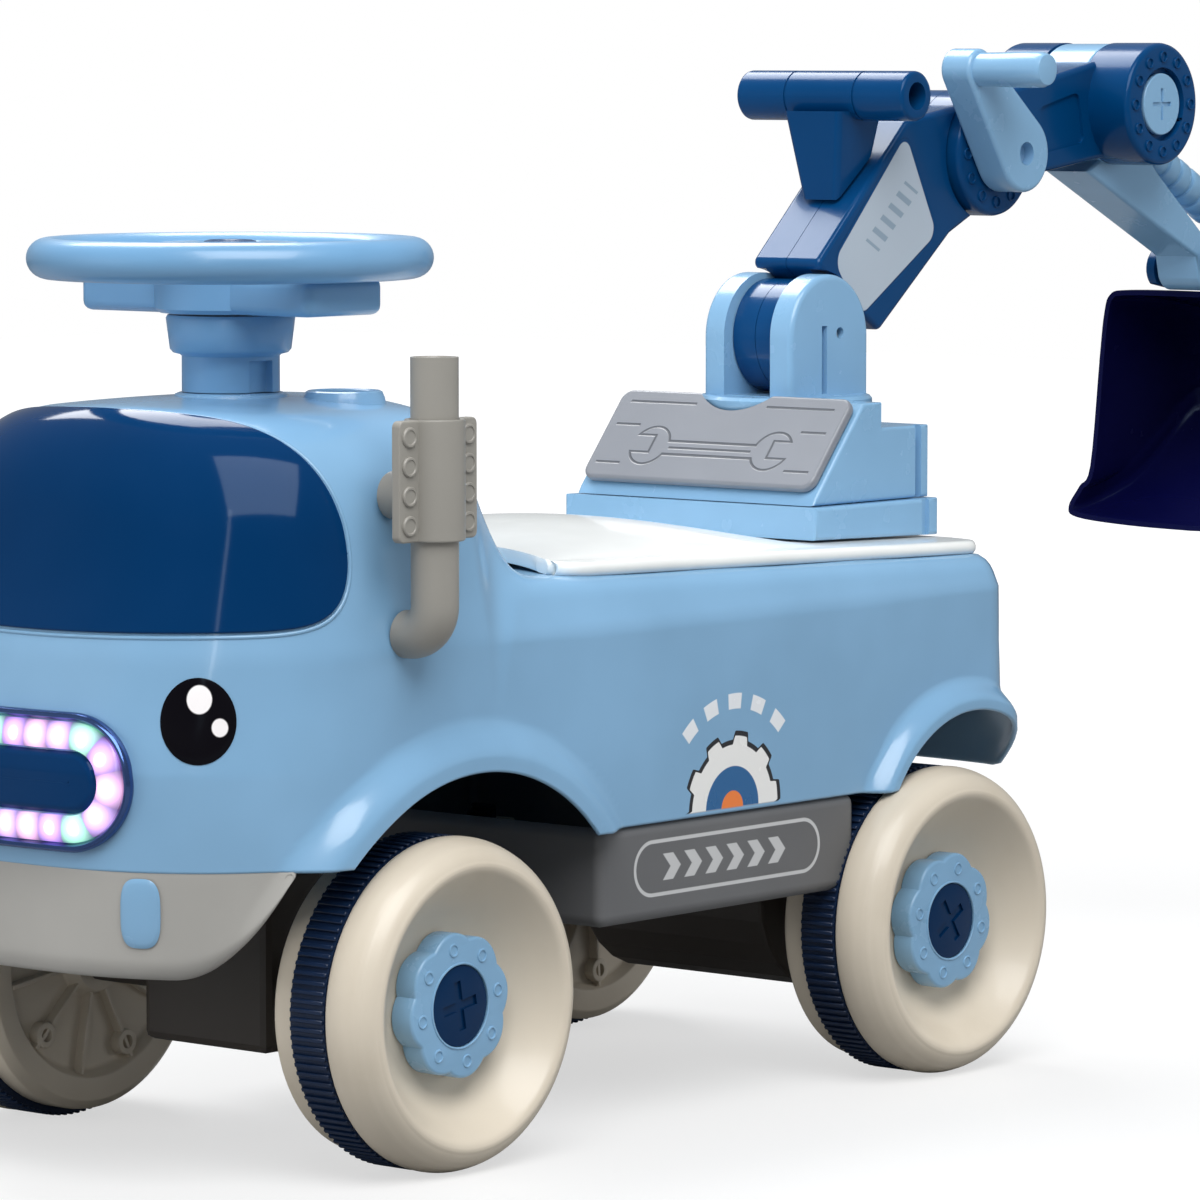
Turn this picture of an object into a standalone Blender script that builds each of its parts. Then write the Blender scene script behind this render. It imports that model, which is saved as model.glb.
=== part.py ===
"""Ride-on digger: a push-along toy lorry with a hand-worked digger arm on its back.

Sizes are in metres. The digger drives towards -Y, +X is its left side and +Z is up. Every
size below is given in the vehicle's own frame, whose zero is the point on the floor halfway
between the axles. The empty named digger then moves the whole model so that the world's
origin lies on the floor under the middle of its box.
"""

import math

import bmesh
import bpy
import numpy as np
from mathutils import Matrix, Vector

# Overall and running gear
WHEEL_RADIUS = 0.0775
WHEELBASE = 0.373
WHEEL_INNER_X = 0.0905
INNER_HALF_WIDTH = 0.0165
TREAD_WIDTH = 0.0205
OUTER_HALF_WIDTH = 0.0255
WHEEL_SIDES = 20
AXLE_RADIUS = 0.004
AXLE_CLEARANCE = 0.0006
HUB_CAP_RADIUS = 0.0325
HUB_CAP_LOBES = 8
HUB_WELL_RADIUS = 0.019
GAP = 0.0004

# Moulded body
HALF_WIDTH = 0.1305
BODY_BOTTOM_Z = 0.147
BELT_Z = 0.242
NOSE_CENTRE_Y = -0.210
NOSE_REACH = 0.121
TAIL_CENTRE_Y = 0.235
TAIL_REACH = 0.051
BED_Z = 0.267
BED_FRONT_Y = -0.100
BED_FALL = 0.026
ROOF_Z = 0.353
ROOF_PEAK_Y = -0.190
CAB_BACK_Y = -0.092
CAB_BACK_BOW = 3.0
CAB_BACK_SWEEP = 0.0129
SHELL_WALL = 0.003
FLARE_REACH = 0.010
FRONT_ARCH = (-0.165, 0.070, 0.114, 0.138)
REAR_ARCH = (0.2135, 0.109, 0.0738, 0.0890)

# Lamp on the nose
LAMP_Z = 0.185
LAMP_HALF_LENGTH = 0.0665
LAMP_HALF_HEIGHT = 0.0312
BEZEL_WIDTH = 0.0035
RING_WIDTH = 0.0135

# Chassis
SILL_HALF_WIDTH = 0.127
SILL_BOTTOM_Z = 0.0985
SILL_FRONT_Y = -0.068
SILL_REAR_Y = 0.129
SILL_WALL = 0.004
BUMPER_BOTTOM_Z = 0.096
BUMPER_WALL = 0.004

# Steering
STEER_Y = -WHEELBASE / 2
RIM_RADIUS = 0.0855
RIM_THICKNESS = 0.010
RIM_Z = 0.417
COLUMN_RADIUS = 0.023
SHAFT_RADIUS = 0.006
SHAFT_CLEARANCE = 0.0008
BUTTON_RADIUS = 0.013
BUTTON_TRAVEL = 0.003

# Seat and plinth
SEAT_HALF_WIDTH = 0.113
SEAT_REAR_Y = 0.256
SEAT_THICKNESS = 0.0062
SEAT_CROWN = 0.014
PLINTH_HALF_WIDTH = 0.083
PLINTH_FRONT_Y = 0.152
PLINTH_REAR_Y = 0.254
PLINTH_FLANGE_TOP_Z = 0.2845
TOWER_HALF_WIDTH = 0.078
TOWER_STEP_Z = 0.322
TOWER_TOP_Z = 0.335
TRAY_THICKNESS = 0.005

# Exhaust stack, on the left side only
PIPE_X = 0.148
PIPE_Y = -0.2095
PIPE_RADIUS = 0.011
PIPE_TOP_Z = 0.376
PIPE_ELBOW_Z = 0.2495
SLEEVE_LOW_Z = 0.293
SLEEVE_HIGH_Z = 0.348

# Digger arm: pivots as (y, z) in the middle plane
TURRET_Y = 0.2315
TURRET_RADIUS = 0.045
EAR_OUTER_X = 0.029
EAR_INNER_X = 0.0152
EAR_RADIUS = 0.0325
BOOM_PIVOT = (0.2357, 0.3660)
ELBOW = (0.375, 0.459)
OUTER_PIVOT = (0.501, 0.4843)
BUCKET_PIVOT = (0.597, 0.391)
BOOM_HALF_WIDTH = 0.022
BOOM_DEPTH = 0.066
TONGUE_HALF_WIDTH = 0.0145
KNUCKLE_RADIUS = 0.0333
KNUCKLE_HALF_WIDTH = 0.0160
FORK_GAP = 0.0006
ARM_PIN_RADIUS = 0.0055
PIN_CLEARANCE = 0.0005
HANDLE = (0.271, 0.490)
HANDLE_RADIUS = 0.013
HANDLE_HALF_LENGTH = 0.055
LEVER_TOP = (0.335, 0.5035)
LEVER_NEAR_X = 0.049
BUCKET_FRONT_Y = 0.600
BUCKET_DEPTH = 0.092
BUCKET_TOP_Z = 0.378
BUCKET_LIP_Z = 0.247
BUCKET_HALF_WIDTH = 0.070
BUCKET_LIP_HALF_WIDTH = 0.085
BUCKET_WALL = 0.003

TRACK_MIDDLE_X = WHEEL_INNER_X + INNER_HALF_WIDTH + TREAD_WIDTH / 2
WHEEL_OUTER_X = WHEEL_INNER_X + INNER_HALF_WIDTH + TREAD_WIDTH + OUTER_HALF_WIDTH
NOSE_Y = NOSE_CENTRE_Y - NOSE_REACH
BUCKET_REAR_Y = BUCKET_FRONT_Y + BUCKET_DEPTH
BOX_MIDDLE_Y = (NOSE_Y - 0.004 + BUCKET_REAR_Y + BUCKET_WALL) / 2

for old in list(bpy.data.objects):
    bpy.data.objects.remove(old, do_unlink=True)

PARTS = bpy.data.collections.new("ride_on_digger")
CUTTERS = bpy.data.collections.new("cutters")
bpy.context.scene.collection.children.link(PARTS)
bpy.context.scene.collection.children.link(CUTTERS)
CUTTERS.hide_render = True


# Materials

def finish(name, colour, roughness, metallic=0.0):
    made = bpy.data.materials.new(name)
    made.use_nodes = True
    shader = made.node_tree.nodes["Principled BSDF"]
    shader.inputs["Base Color"].default_value = (*colour, 1.0)
    shader.inputs["Roughness"].default_value = roughness
    shader.inputs["Metallic"].default_value = metallic
    made.diffuse_color = (*colour, 1.0)
    return made


SKY_BLUE = finish("sky_blue_plastic", (0.27, 0.52, 0.76), 0.28)
DEEP_BLUE = finish("deep_blue_plastic", (0.0, 0.09, 0.24), 0.25)
NAVY = finish("navy_plastic", (0.004, 0.006, 0.06), 0.3)
GLASS_BLUE = finish("windshield_blue", (0.0, 0.03, 0.12), 0.08)
CREAM = finish("cream_plastic", (0.68, 0.61, 0.50), 0.4)
TREAD_BLUE = finish("tread_navy", (0.0, 0.03, 0.09), 0.5)
WHITE = finish("white_plastic", (0.86, 0.86, 0.86), 0.35)
WARM_GREY = finish("warm_grey_plastic", (0.36, 0.35, 0.33), 0.4)
SILL_GREY = finish("sill_grey_plastic", (0.21, 0.23, 0.26), 0.4)
TRAY_GREY = finish("tray_grey_plastic", (0.38, 0.39, 0.41), 0.45)
UNDER_BROWN = finish("underbody_plastic", (0.05, 0.04, 0.035), 0.55)
EYE_BLACK = finish("eye_black", (0.006, 0.006, 0.007), 0.12)
LAMP_WHITE = finish("lamp_lens", (0.85, 0.85, 0.9), 0.2)
DARK_CHROME = finish("dark_chrome", (0.05, 0.07, 0.14), 0.15, 0.9)
STEEL = finish("steel", (0.55, 0.56, 0.58), 0.3, 1.0)


# Empties: one for the frame and one on each joint's axis

def joint_empty(name, place, parent=None):
    """An empty at a place in the vehicle's frame; its pieces are parented to it."""
    empty = bpy.data.objects.new(name, None)
    empty.empty_display_size = 0.02
    PARTS.objects.link(empty)
    empty["place"] = place
    if parent is not None:
        empty.parent = parent
        empty.location = Vector(place) - Vector(parent["place"])
    return empty


DIGGER = joint_empty("digger", (0.0, 0.0, 0.0))
DIGGER.location = (0.0, -BOX_MIDDLE_Y, 0.0)


def put(name, mesh, material, parent, at=(0.0, 0.0, 0.0), turn=(0.0, 0.0, 0.0), smooth=True):
    """Makes the named piece from a mesh whose zero goes at a place in the vehicle's frame."""
    mesh.name = name
    piece = bpy.data.objects.new(name, mesh)
    PARTS.objects.link(piece)
    piece.parent = parent
    piece.location = Vector(at) - Vector(parent["place"])
    piece.rotation_euler = turn
    mesh.materials.clear()
    mesh.materials.append(material)
    if smooth:
        mesh.shade_smooth()
        mesh.set_sharp_from_angle(angle=math.radians(40))
    return piece


def as_mesh(bm):
    mesh = bpy.data.meshes.new("shape")
    bmesh.ops.recalc_face_normals(bm, faces=bm.faces)
    bm.to_mesh(mesh)
    bm.free()
    return mesh


# Plain shapes, all given in the vehicle's frame

def box_mesh(low, high, rounding=0.0, segments=2):
    bm = bmesh.new()
    size = Vector(high) - Vector(low)
    middle = (Vector(high) + Vector(low)) / 2
    bmesh.ops.create_cube(bm, size=1.0, matrix=Matrix.Translation(middle) @ Matrix.Diagonal((*size, 1.0)))
    if rounding:
        bmesh.ops.bevel(bm, geom=bm.edges[:], offset=rounding, segments=segments, profile=0.5,
                        affect="EDGES", clamp_overlap=True)
    return as_mesh(bm)


TURNS = {"X": Matrix.Rotation(math.radians(90), 4, "Y"), "Y": Matrix.Rotation(math.radians(-90), 4, "X"),
         "Z": Matrix.Identity(4)}


def rod_mesh(axis, low, high, radius, centre, sides=16, top_radius=None):
    """A cylinder or a cone along an axis, from low to high; centre gives the other two coordinates."""
    bm = bmesh.new()
    bmesh.ops.create_cone(bm, cap_ends=True, segments=sides, radius1=radius,
                          radius2=radius if top_radius is None else top_radius, depth=high - low)
    bmesh.ops.transform(bm, matrix=TURNS[axis], verts=bm.verts)
    middle = list(centre)
    middle.insert("XYZ".index(axis), (low + high) / 2)
    bmesh.ops.translate(bm, vec=middle, verts=bm.verts)
    return as_mesh(bm)


def arc(centre, radius, start, end, count):
    """Points on a circle's arc, from one angle in degrees to another, both included."""
    angles = np.radians(np.linspace(start, end, count))
    return [(centre[0] + radius * math.cos(a), centre[1] + radius * math.sin(a)) for a in angles]


def rounded(corners, radius, count=4):
    """A polygon's outline with its corners rounded; a radius of zero leaves a corner sharp."""
    outline = []
    radii = radius if isinstance(radius, (list, tuple)) else [radius] * len(corners)
    for i, corner in enumerate(corners):
        here = Vector(corner)
        before = (Vector(corners[i - 1]) - here).normalized()
        after = (Vector(corners[(i + 1) % len(corners)]) - here).normalized()
        if radii[i] == 0:
            outline.append(tuple(here))
            continue
        half = math.acos(max(-1.0, min(1.0, before.dot(after)))) / 2
        reach = radii[i] / math.tan(half)
        centre = here + (before + after).normalized() * (radii[i] / math.sin(half))
        first = here + before * reach - centre
        last = here + after * reach - centre
        sweep = first.angle_signed(last)
        for k in range(count + 1):
            spoke = first.copy()
            spoke.rotate(Matrix.Rotation(-sweep * k / count, 2))
            outline.append(tuple(centre + spoke))
    return outline


def plate_mesh(outline, low_x, high_x, edge=0.0):
    """A flat outline in the YZ plane, made thick along X, with its rim rounded."""
    curve = bpy.data.curves.new("outline", "CURVE")
    curve.dimensions = "2D"
    curve.fill_mode = "BOTH"
    spline = curve.splines.new("POLY")
    spline.points.add(len(outline) - 1)
    for point, (y, z) in zip(spline.points, outline):
        point.co = (y, z, 0.0, 1.0)
    spline.use_cyclic_u = True
    curve.extrude = (high_x - low_x) / 2 - edge
    curve.bevel_depth = edge
    curve.bevel_resolution = 1 if edge else 0
    curve.offset = -edge
    return curve_mesh(curve, Matrix(((0, 0, 1, (low_x + high_x) / 2), (1, 0, 0, 0), (0, 1, 0, 0),
                                     (0, 0, 0, 1))))


def tube_mesh(points, radius, sides=12):
    curve = bpy.data.curves.new("path", "CURVE")
    curve.dimensions = "3D"
    spline = curve.splines.new("POLY")
    spline.points.add(len(points) - 1)
    for point, place in zip(spline.points, points):
        point.co = (*place, 1.0)
    curve.bevel_depth = radius
    curve.bevel_resolution = sides // 4 - 1
    curve.use_fill_caps = True
    return curve_mesh(curve, Matrix.Identity(4))


def curve_mesh(curve, matrix):
    """The mesh of a curve, with its loose caps welded on."""
    holder = bpy.data.objects.new("holder", curve)
    bpy.context.scene.collection.objects.link(holder)
    evaluated = holder.evaluated_get(bpy.context.evaluated_depsgraph_get())
    mesh = bpy.data.meshes.new_from_object(evaluated)
    bpy.data.objects.remove(holder, do_unlink=True)
    bpy.data.curves.remove(curve)
    bm = bmesh.new()
    bm.from_mesh(mesh)
    bpy.data.meshes.remove(mesh)
    bmesh.ops.remove_doubles(bm, verts=bm.verts, dist=0.00002)
    bmesh.ops.transform(bm, matrix=matrix, verts=bm.verts)
    return as_mesh(bm)


def turned_mesh(profile, sides, axis="Z", centre=(0.0, 0.0, 0.0), closed=True):
    """A turned solid from (radius, height) points, by the Screw modifier."""
    guide = bpy.data.meshes.new("profile")
    last = len(profile)
    edges = [(i, (i + 1) % last) for i in range(last if closed else last - 1)]
    guide.from_pydata([(r, 0.0, h) for r, h in profile], edges, [])
    holder = bpy.data.objects.new("holder", guide)
    bpy.context.scene.collection.objects.link(holder)
    screw = holder.modifiers.new("turn", "SCREW")
    screw.steps = screw.render_steps = sides
    screw.use_merge_vertices = True
    screw.merge_threshold = 0.00002
    evaluated = holder.evaluated_get(bpy.context.evaluated_depsgraph_get())
    mesh = bpy.data.meshes.new_from_object(evaluated)
    bpy.data.objects.remove(holder, do_unlink=True)
    bpy.data.meshes.remove(guide)
    bm = bmesh.new()
    bm.from_mesh(mesh)
    bpy.data.meshes.remove(mesh)
    bmesh.ops.remove_doubles(bm, verts=bm.verts, dist=0.00002)
    bmesh.ops.transform(bm, matrix=Matrix.Translation(centre) @ TURNS[axis], verts=bm.verts)
    return as_mesh(bm)


def cutter(name, mesh, parent=None):
    mesh.name = name
    made = bpy.data.objects.new(name, mesh)
    CUTTERS.objects.link(made)
    made.hide_render = True
    made.display_type = "WIRE"
    owner = parent or DIGGER
    made.parent = owner
    made.location = -Vector(owner["place"])
    return made


def boolean(piece, name, mesh, operation="DIFFERENCE"):
    """Cuts a piece, or joins to it, with a shape given in the vehicle's frame."""
    change = piece.modifiers.new(name, "BOOLEAN")
    change.operation = operation
    change.solver = "EXACT"
    change.object = cutter(f"{piece.name}_{name}", mesh, piece.parent)
    return change


# The body's outer surface, as a signed distance that is below zero inside

def soft_max(a, b, width):
    share = np.clip(0.5 + 0.5 * (a - b) / width, 0.0, 1.0)
    return b + (a - b) * share + width * share * (1.0 - share)


def cab_share(x, y):
    """1 over the cab and 0 over the bed, with the concave sweep of the cab's back between."""
    return 0.5 * (1.0 - np.tanh((y - CAB_BACK_Y + CAB_BACK_BOW * x * x) / CAB_BACK_SWEEP))


def bed_height(y):
    return BED_Z - BED_FALL * (y - BED_FRONT_Y)


def top_height(x, y):
    roof = ROOF_Z - 0.9 * x * x - 0.35 * (y - ROOF_PEAK_Y) ** 2
    return bed_height(y) + (roof - bed_height(y)) * cab_share(x, y)


def flare(y, z):
    """How far the fender lips stand out of the side, by distance from each wheel arch."""
    out = np.zeros_like(y * z)
    for middle_y, middle_z, inner, outer in (FRONT_ARCH, REAR_ARCH):
        share = np.clip((outer - np.hypot(y - middle_y, z - middle_z)) / (outer - inner), 0.0, 1.0)
        out = np.maximum(out, FLARE_REACH * np.sin(np.pi / 2 * np.minimum(1.0, 1.25 * share)))
    return out


def body_distance(x, y, z):
    share = cab_share(x, y)
    above = np.maximum(z - BELT_Z, 0.0)
    below = np.maximum(BELT_Z - z, 0.0)
    half = HALF_WIDTH - 0.03 * below - (0.15 * share + 0.42 * (1.0 - share)) * above
    nose = NOSE_REACH - 0.17 * np.maximum(z - 0.19, 0.0) - 0.11 * above
    tail = TAIL_REACH - 0.195 * np.maximum(z - BODY_BOTTOM_Z, 0.0)
    half = np.maximum(half, 0.02)
    ahead = np.maximum(NOSE_CENTRE_Y - y, 0.0) / np.maximum(nose, 0.02)
    behind = np.maximum(y - TAIL_CENTRE_Y, 0.0) / np.maximum(tail, 0.01)
    power = np.where(ahead > 0.0, 2.5, 2.6)
    ring = ((np.abs(x) / half) ** power + (ahead + behind) ** power) ** (1.0 / power)
    side = (ring - 1.0) * half - flare(y, z)
    step = 0.0005
    slope_y = (top_height(x, y + step) - top_height(x, y - step)) / (2 * step)
    slope_x = (top_height(x + step, y) - top_height(x - step, y)) / (2 * step)
    lid = (z - top_height(x, y)) / np.sqrt(1.0 + slope_y ** 2 + slope_x ** 2)
    return soft_max(side, lid, 0.010 + 0.035 * share)


def reach(start, direction, far=0.45):
    """Where rays from inside the body leave it, by halving."""
    low = np.zeros(len(start))
    high = np.full(len(start), far)
    for _ in range(40):
        middle = (low + high) / 2
        at = start + direction * middle[:, None]
        inside = body_distance(at[:, 0], at[:, 1], at[:, 2]) < 0.0
        low = np.where(inside, middle, low)
        high = np.where(inside, high, middle)
    return start + direction * low[:, None]


def outward(points):
    """Unit normals of the body's surface."""
    step = 0.0004
    slopes = []
    for axis in range(3):
        shift = np.zeros(3)
        shift[axis] = step
        ahead = body_distance(*(points + shift).T)
        behind = body_distance(*(points - shift).T)
        slopes.append(ahead - behind)
    normals = np.array(slopes).T
    return normals / np.linalg.norm(normals, axis=1)[:, None]


def front_face(outline, middle_z):
    """Points of the nose's surface that are seen straight from the front at an (across, up) outline."""
    start = np.array([(across, NOSE_CENTRE_Y, middle_z + up) for across, up in outline])
    return reach(start, np.broadcast_to((0.0, -1.0, 0.0), start.shape))


def grid_mesh(rows, wrap=False):
    """An open surface through rows of points; doubled points at poles are merged."""
    bm = bmesh.new()
    verts = [[bm.verts.new(p) for p in row] for row in rows]
    count = len(rows[0])
    for low, high in zip(verts[:-1], verts[1:]):
        for i in range(count if wrap else count - 1):
            j = (i + 1) % count
            bm.faces.new((low[i], low[j], high[j], high[i]))
    bmesh.ops.remove_doubles(bm, verts=bm.verts, dist=0.00002)
    bmesh.ops.dissolve_degenerate(bm, dist=0.00001, edges=bm.edges)
    return bm


def arch_height(y):
    """The height of the body's lower edge: level, with the two wheel arches."""
    height = BODY_BOTTOM_Z
    for middle_y, middle_z, inner, _ in (FRONT_ARCH, REAR_ARCH):
        if abs(y - middle_y) < inner:
            height = max(height, middle_z + math.sqrt(inner ** 2 - (y - middle_y) ** 2))
    return height


def arch_tips(arch):
    reach_y = math.sqrt(arch[2] ** 2 - (BODY_BOTTOM_Z - arch[1]) ** 2)
    return arch[0] - reach_y, arch[0] + reach_y


def body_columns():
    """(pole y, direction) of each column of the shell's grid, from the nose round to the tail."""
    front_low, front_high = arch_tips(FRONT_ARCH)
    rear_low, _ = arch_tips(REAR_ARCH)
    cab_edge = CAB_BACK_Y - 0.068
    columns = [(front_low, math.radians(a)) for a in np.linspace(0.0, 90.0, 8)]
    stations = list(np.linspace(front_low, cab_edge, 4)[1:]) + list(np.linspace(cab_edge, front_high, 9)[1:])
    stations += list(np.linspace(front_high, -0.030, 6)[1:]) + list(np.linspace(-0.030, rear_low, 4)[1:])
    stations += list(np.linspace(rear_low, TAIL_CENTRE_Y, 5)[1:])
    columns += [(y, math.radians(90.0)) for y in stations]
    columns += [(TAIL_CENTRE_Y, math.radians(a)) for a in np.linspace(90.0, 180.0, 6)[1:]]
    return columns


def body_half_rows():
    """Rows of points of the left half, from the lower edge up to the middle line."""
    columns = body_columns()
    poles = np.array([(0.0, y, 0.0) for y, _ in columns])
    flat = np.array([(math.sin(a), -math.cos(a), 0.0) for _, a in columns])
    edge = poles + (0.0, 0.0, BODY_BOTTOM_Z)
    foot = reach(edge, flat)
    low = np.array([arch_height(y) for y in foot[:, 1]])
    rows = []
    for share in (0.0, 0.15, 0.4, 0.7, 1.0):
        start = poles.copy()
        start[:, 2] = low + (BELT_Z - low) * share
        rows.append(reach(start, flat))
    for rise in (8.0, 14.0, 23.0, 32.0, 40.0, 50.0, 66.0, 90.0):
        angle = math.radians(rise)
        start = poles + (0.0, 0.0, BELT_Z)
        rows.append(reach(start, flat * math.cos(angle) + (0.0, 0.0, math.sin(angle))))
    for row in rows:
        row[[0, -1], 0] = 0.0
    rows[-1][:, 0] = 0.0
    return rows


def shell_modifiers(piece, wall, mirrored=True, offset=-1.0):
    if mirrored:
        mirror = piece.modifiers.new("other_half", "MIRROR")
        mirror.merge_threshold = 0.00002
        mirror.use_clip = True
    solid = piece.modifiers.new("wall", "SOLIDIFY")
    solid.thickness = wall
    solid.offset = offset
    solid.use_even_offset = True
    solid.thickness_clamp = 1.0
    return solid


def face_outward(bm, middle):
    """Turns an open surface so that its faces point away from a middle point."""
    bmesh.ops.recalc_face_normals(bm, faces=bm.faces)
    balance = sum((f.calc_center_median() - Vector(middle)).dot(f.normal) * f.calc_area() for f in bm.faces)
    if balance < 0:
        bmesh.ops.reverse_faces(bm, faces=bm.faces)
    mesh = bpy.data.meshes.new("surface")
    bm.to_mesh(mesh)
    bm.free()
    return mesh


def body_shell():
    mesh = face_outward(grid_mesh([list(map(tuple, row)) for row in body_half_rows()]), (0.0, 0.0, 0.2))
    shell = put("body_shell", mesh, SKY_BLUE, DIGGER)
    shell_modifiers(shell, SHELL_WALL)
    shaft_hole = rod_mesh("Z", 0.30, 0.40, SHAFT_RADIUS + SHAFT_CLEARANCE, (0.0, STEER_Y), 12)
    boolean(shell, "shaft_hole", shaft_hole)
    return shell


def skin(name, rows, material, lift, thickness, wrap=True):
    """A thin piece that lies on the body: rows of points on its surface, lifted off and thickened."""
    lifted = []
    for row in rows:
        points = np.array(row)
        lifted.append(list(map(tuple, points + outward(points) * lift)))
    mesh = face_outward(grid_mesh(lifted, wrap), (0.0, -0.2, 0.2))
    piece = put(name, mesh, material, DIGGER)
    shell_modifiers(piece, thickness, mirrored=False, offset=1.0)
    return piece


def windshield():
    """The dark screen wraps round the cab; its corners are small below and large above."""
    pole = np.array((0.0, NOSE_CENTRE_Y, BELT_Z))
    columns = []
    for share in np.sin(np.radians(np.linspace(-90.0, 90.0, 19))):
        turn = math.radians(76.0) * share
        round_low = (1.0 - abs(share) ** 14) ** (1 / 2)
        round_high = (1.0 - abs(share) ** 4.5) ** (1 / 2)
        middle = math.radians(20.0)
        low = middle - (middle - math.radians(5.5)) * round_low
        high = middle + (math.radians(59.0 - 20.0 * abs(share) ** 1.6) - middle) * round_high
        columns.append([(turn, rise) for rise in np.linspace(low, high, 6)])
    rows = []
    for k in range(6):
        points = [(math.sin(t) * math.cos(r), -math.cos(t) * math.cos(r), math.sin(r))
                  for t, r in (column[k] for column in columns)]
        directions = np.array(points)
        rows.append(reach(np.broadcast_to(pole, directions.shape), directions))
    return skin("windshield", rows, GLASS_BLUE, 0.0018, 0.0020, wrap=False)


def stadium(half_length, half_height, count):
    """Points of a long outline with round ends, in (across, up)."""
    straight = half_length - half_height
    between = [(x, 0.0) for x in np.linspace(-straight, straight, 7)[1:-1]]
    low = [(x, -half_height) for x, _ in between]
    high = [(x, half_height) for x, _ in reversed(between)]
    return (low + arc((straight, 0.0), half_height, -90.0, 90.0, count)
            + high + arc((-straight, 0.0), half_height, 90.0, 270.0, count))


def front_lamp():
    """The lamp on the nose: bezel, luminous ring and dark middle panel, one inside the other."""
    def loop(half_length, half_height):
        return front_face(stadium(half_length, half_height, 6), LAMP_Z)

    step = 2 * GAP
    length, height = LAMP_HALF_LENGTH, LAMP_HALF_HEIGHT
    bezel = [loop(length, height), loop(length - BEZEL_WIDTH, height - BEZEL_WIDTH)]
    skin("lamp_bezel", bezel, DARK_CHROME, 0.0010, 0.0050)
    length, height = length - BEZEL_WIDTH - step, height - BEZEL_WIDTH - step
    ring = [loop(length, height), loop(length - RING_WIDTH, height - RING_WIDTH)]
    skin("lamp_ring", ring, LAMP_WHITE, 0.0010, 0.0034)
    length, height = length - RING_WIDTH - step, height - RING_WIDTH - step
    panel = [loop(length, height)]
    for share in (0.5, 0.0):
        outline = [(x - math.copysign(max(0.0, abs(x) - (length - height)), x) * (1.0 - share), z * share)
                   for x, z in stadium(length, height, 6)]
        panel.append(front_face(outline, LAMP_Z))
    skin("lamp_panel", panel, GLASS_BLUE, 0.0010, 0.0030)


def surface_disc(place, half_width, half_height, count, rings):
    """Rows of points on the body round a place on it, for an oval or a long outline."""
    centre = np.array([place])
    normal = outward(centre)[0]
    across = np.cross((0.0, 0.0, 1.0), normal)
    across /= np.linalg.norm(across)
    up = np.cross(normal, across)
    rows = []
    for share in rings:
        loop = []
        for angle in np.linspace(0.0, 2 * math.pi, count, endpoint=False):
            loop.append(centre[0] + across * half_width * share * math.cos(angle)
                        + up * half_height * share * math.sin(angle))
        points = np.array(loop) + normal * 0.03
        rows.append(reach(points - normal * 0.09, np.broadcast_to(normal, points.shape)))
    return rows


def eyes_and_accents():
    eye = reach(np.array([(0.0, NOSE_CENTRE_Y, 0.2145)]), np.array([(0.09, -0.094, 0.0)]) / 0.1301)[0]
    accent_turn = math.radians(32.0)
    accent = reach(np.array([(0.0, NOSE_CENTRE_Y, 0.1475)]),
                   np.array([(math.sin(accent_turn), -math.cos(accent_turn), 0.0)]))[0]
    accent[2] = 0.127
    for side, sign in (("left", 1.0), ("right", -1.0)):
        flip = np.array((sign, 1.0, 1.0))
        skin(f"eye_{side}", surface_disc(eye * flip, 0.0170, 0.0194, 16, (1.0, 0.55, 0.0)), EYE_BLACK,
             0.0007, 0.0022)
        lift = 0.0006 + BUMPER_WALL
        skin(f"bumper_accent_{side}", surface_disc(accent * flip, 0.0095, 0.0155, 12, (1.0, 0.0)), SKY_BLUE,
             lift, 0.0020)


def bumper_low(turn):
    """The bumper's lower edge, which curves up to its ends."""
    share = max(0.0, (abs(turn) - math.radians(35.0)) / math.radians(26.5))
    return BUMPER_BOTTOM_Z + (BODY_BOTTOM_Z - GAP - BUMPER_BOTTOM_Z) * 0.97 * share ** 2


def front_bumper():
    """A fascia under the nose that follows the body's plan; its ends curve up to the wheels."""
    rows = []
    turns = np.radians(np.linspace(-61.5, 61.5, 23))
    flat = np.array([(math.sin(a), -math.cos(a), 0.0) for a in turns])
    for share in (0.0, 0.12, 0.55, 1.0):
        start = np.zeros((len(turns), 3))
        start[:, 1] = NOSE_CENTRE_Y
        start[:, 2] = [bumper_low(a) + (BODY_BOTTOM_Z - GAP - bumper_low(a)) * share for a in turns]
        tuck = 0.0025 if share == 0.0 else 0.0
        rows.append(list(map(tuple, reach(start, flat) - flat * tuck)))
    mesh = face_outward(grid_mesh(rows), (0.0, NOSE_CENTRE_Y, 0.12))
    bumper = put("front_bumper", mesh, WARM_GREY, DIGGER)
    shell_modifiers(bumper, BUMPER_WALL, mirrored=False, offset=-1.0)
    return bumper


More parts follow.
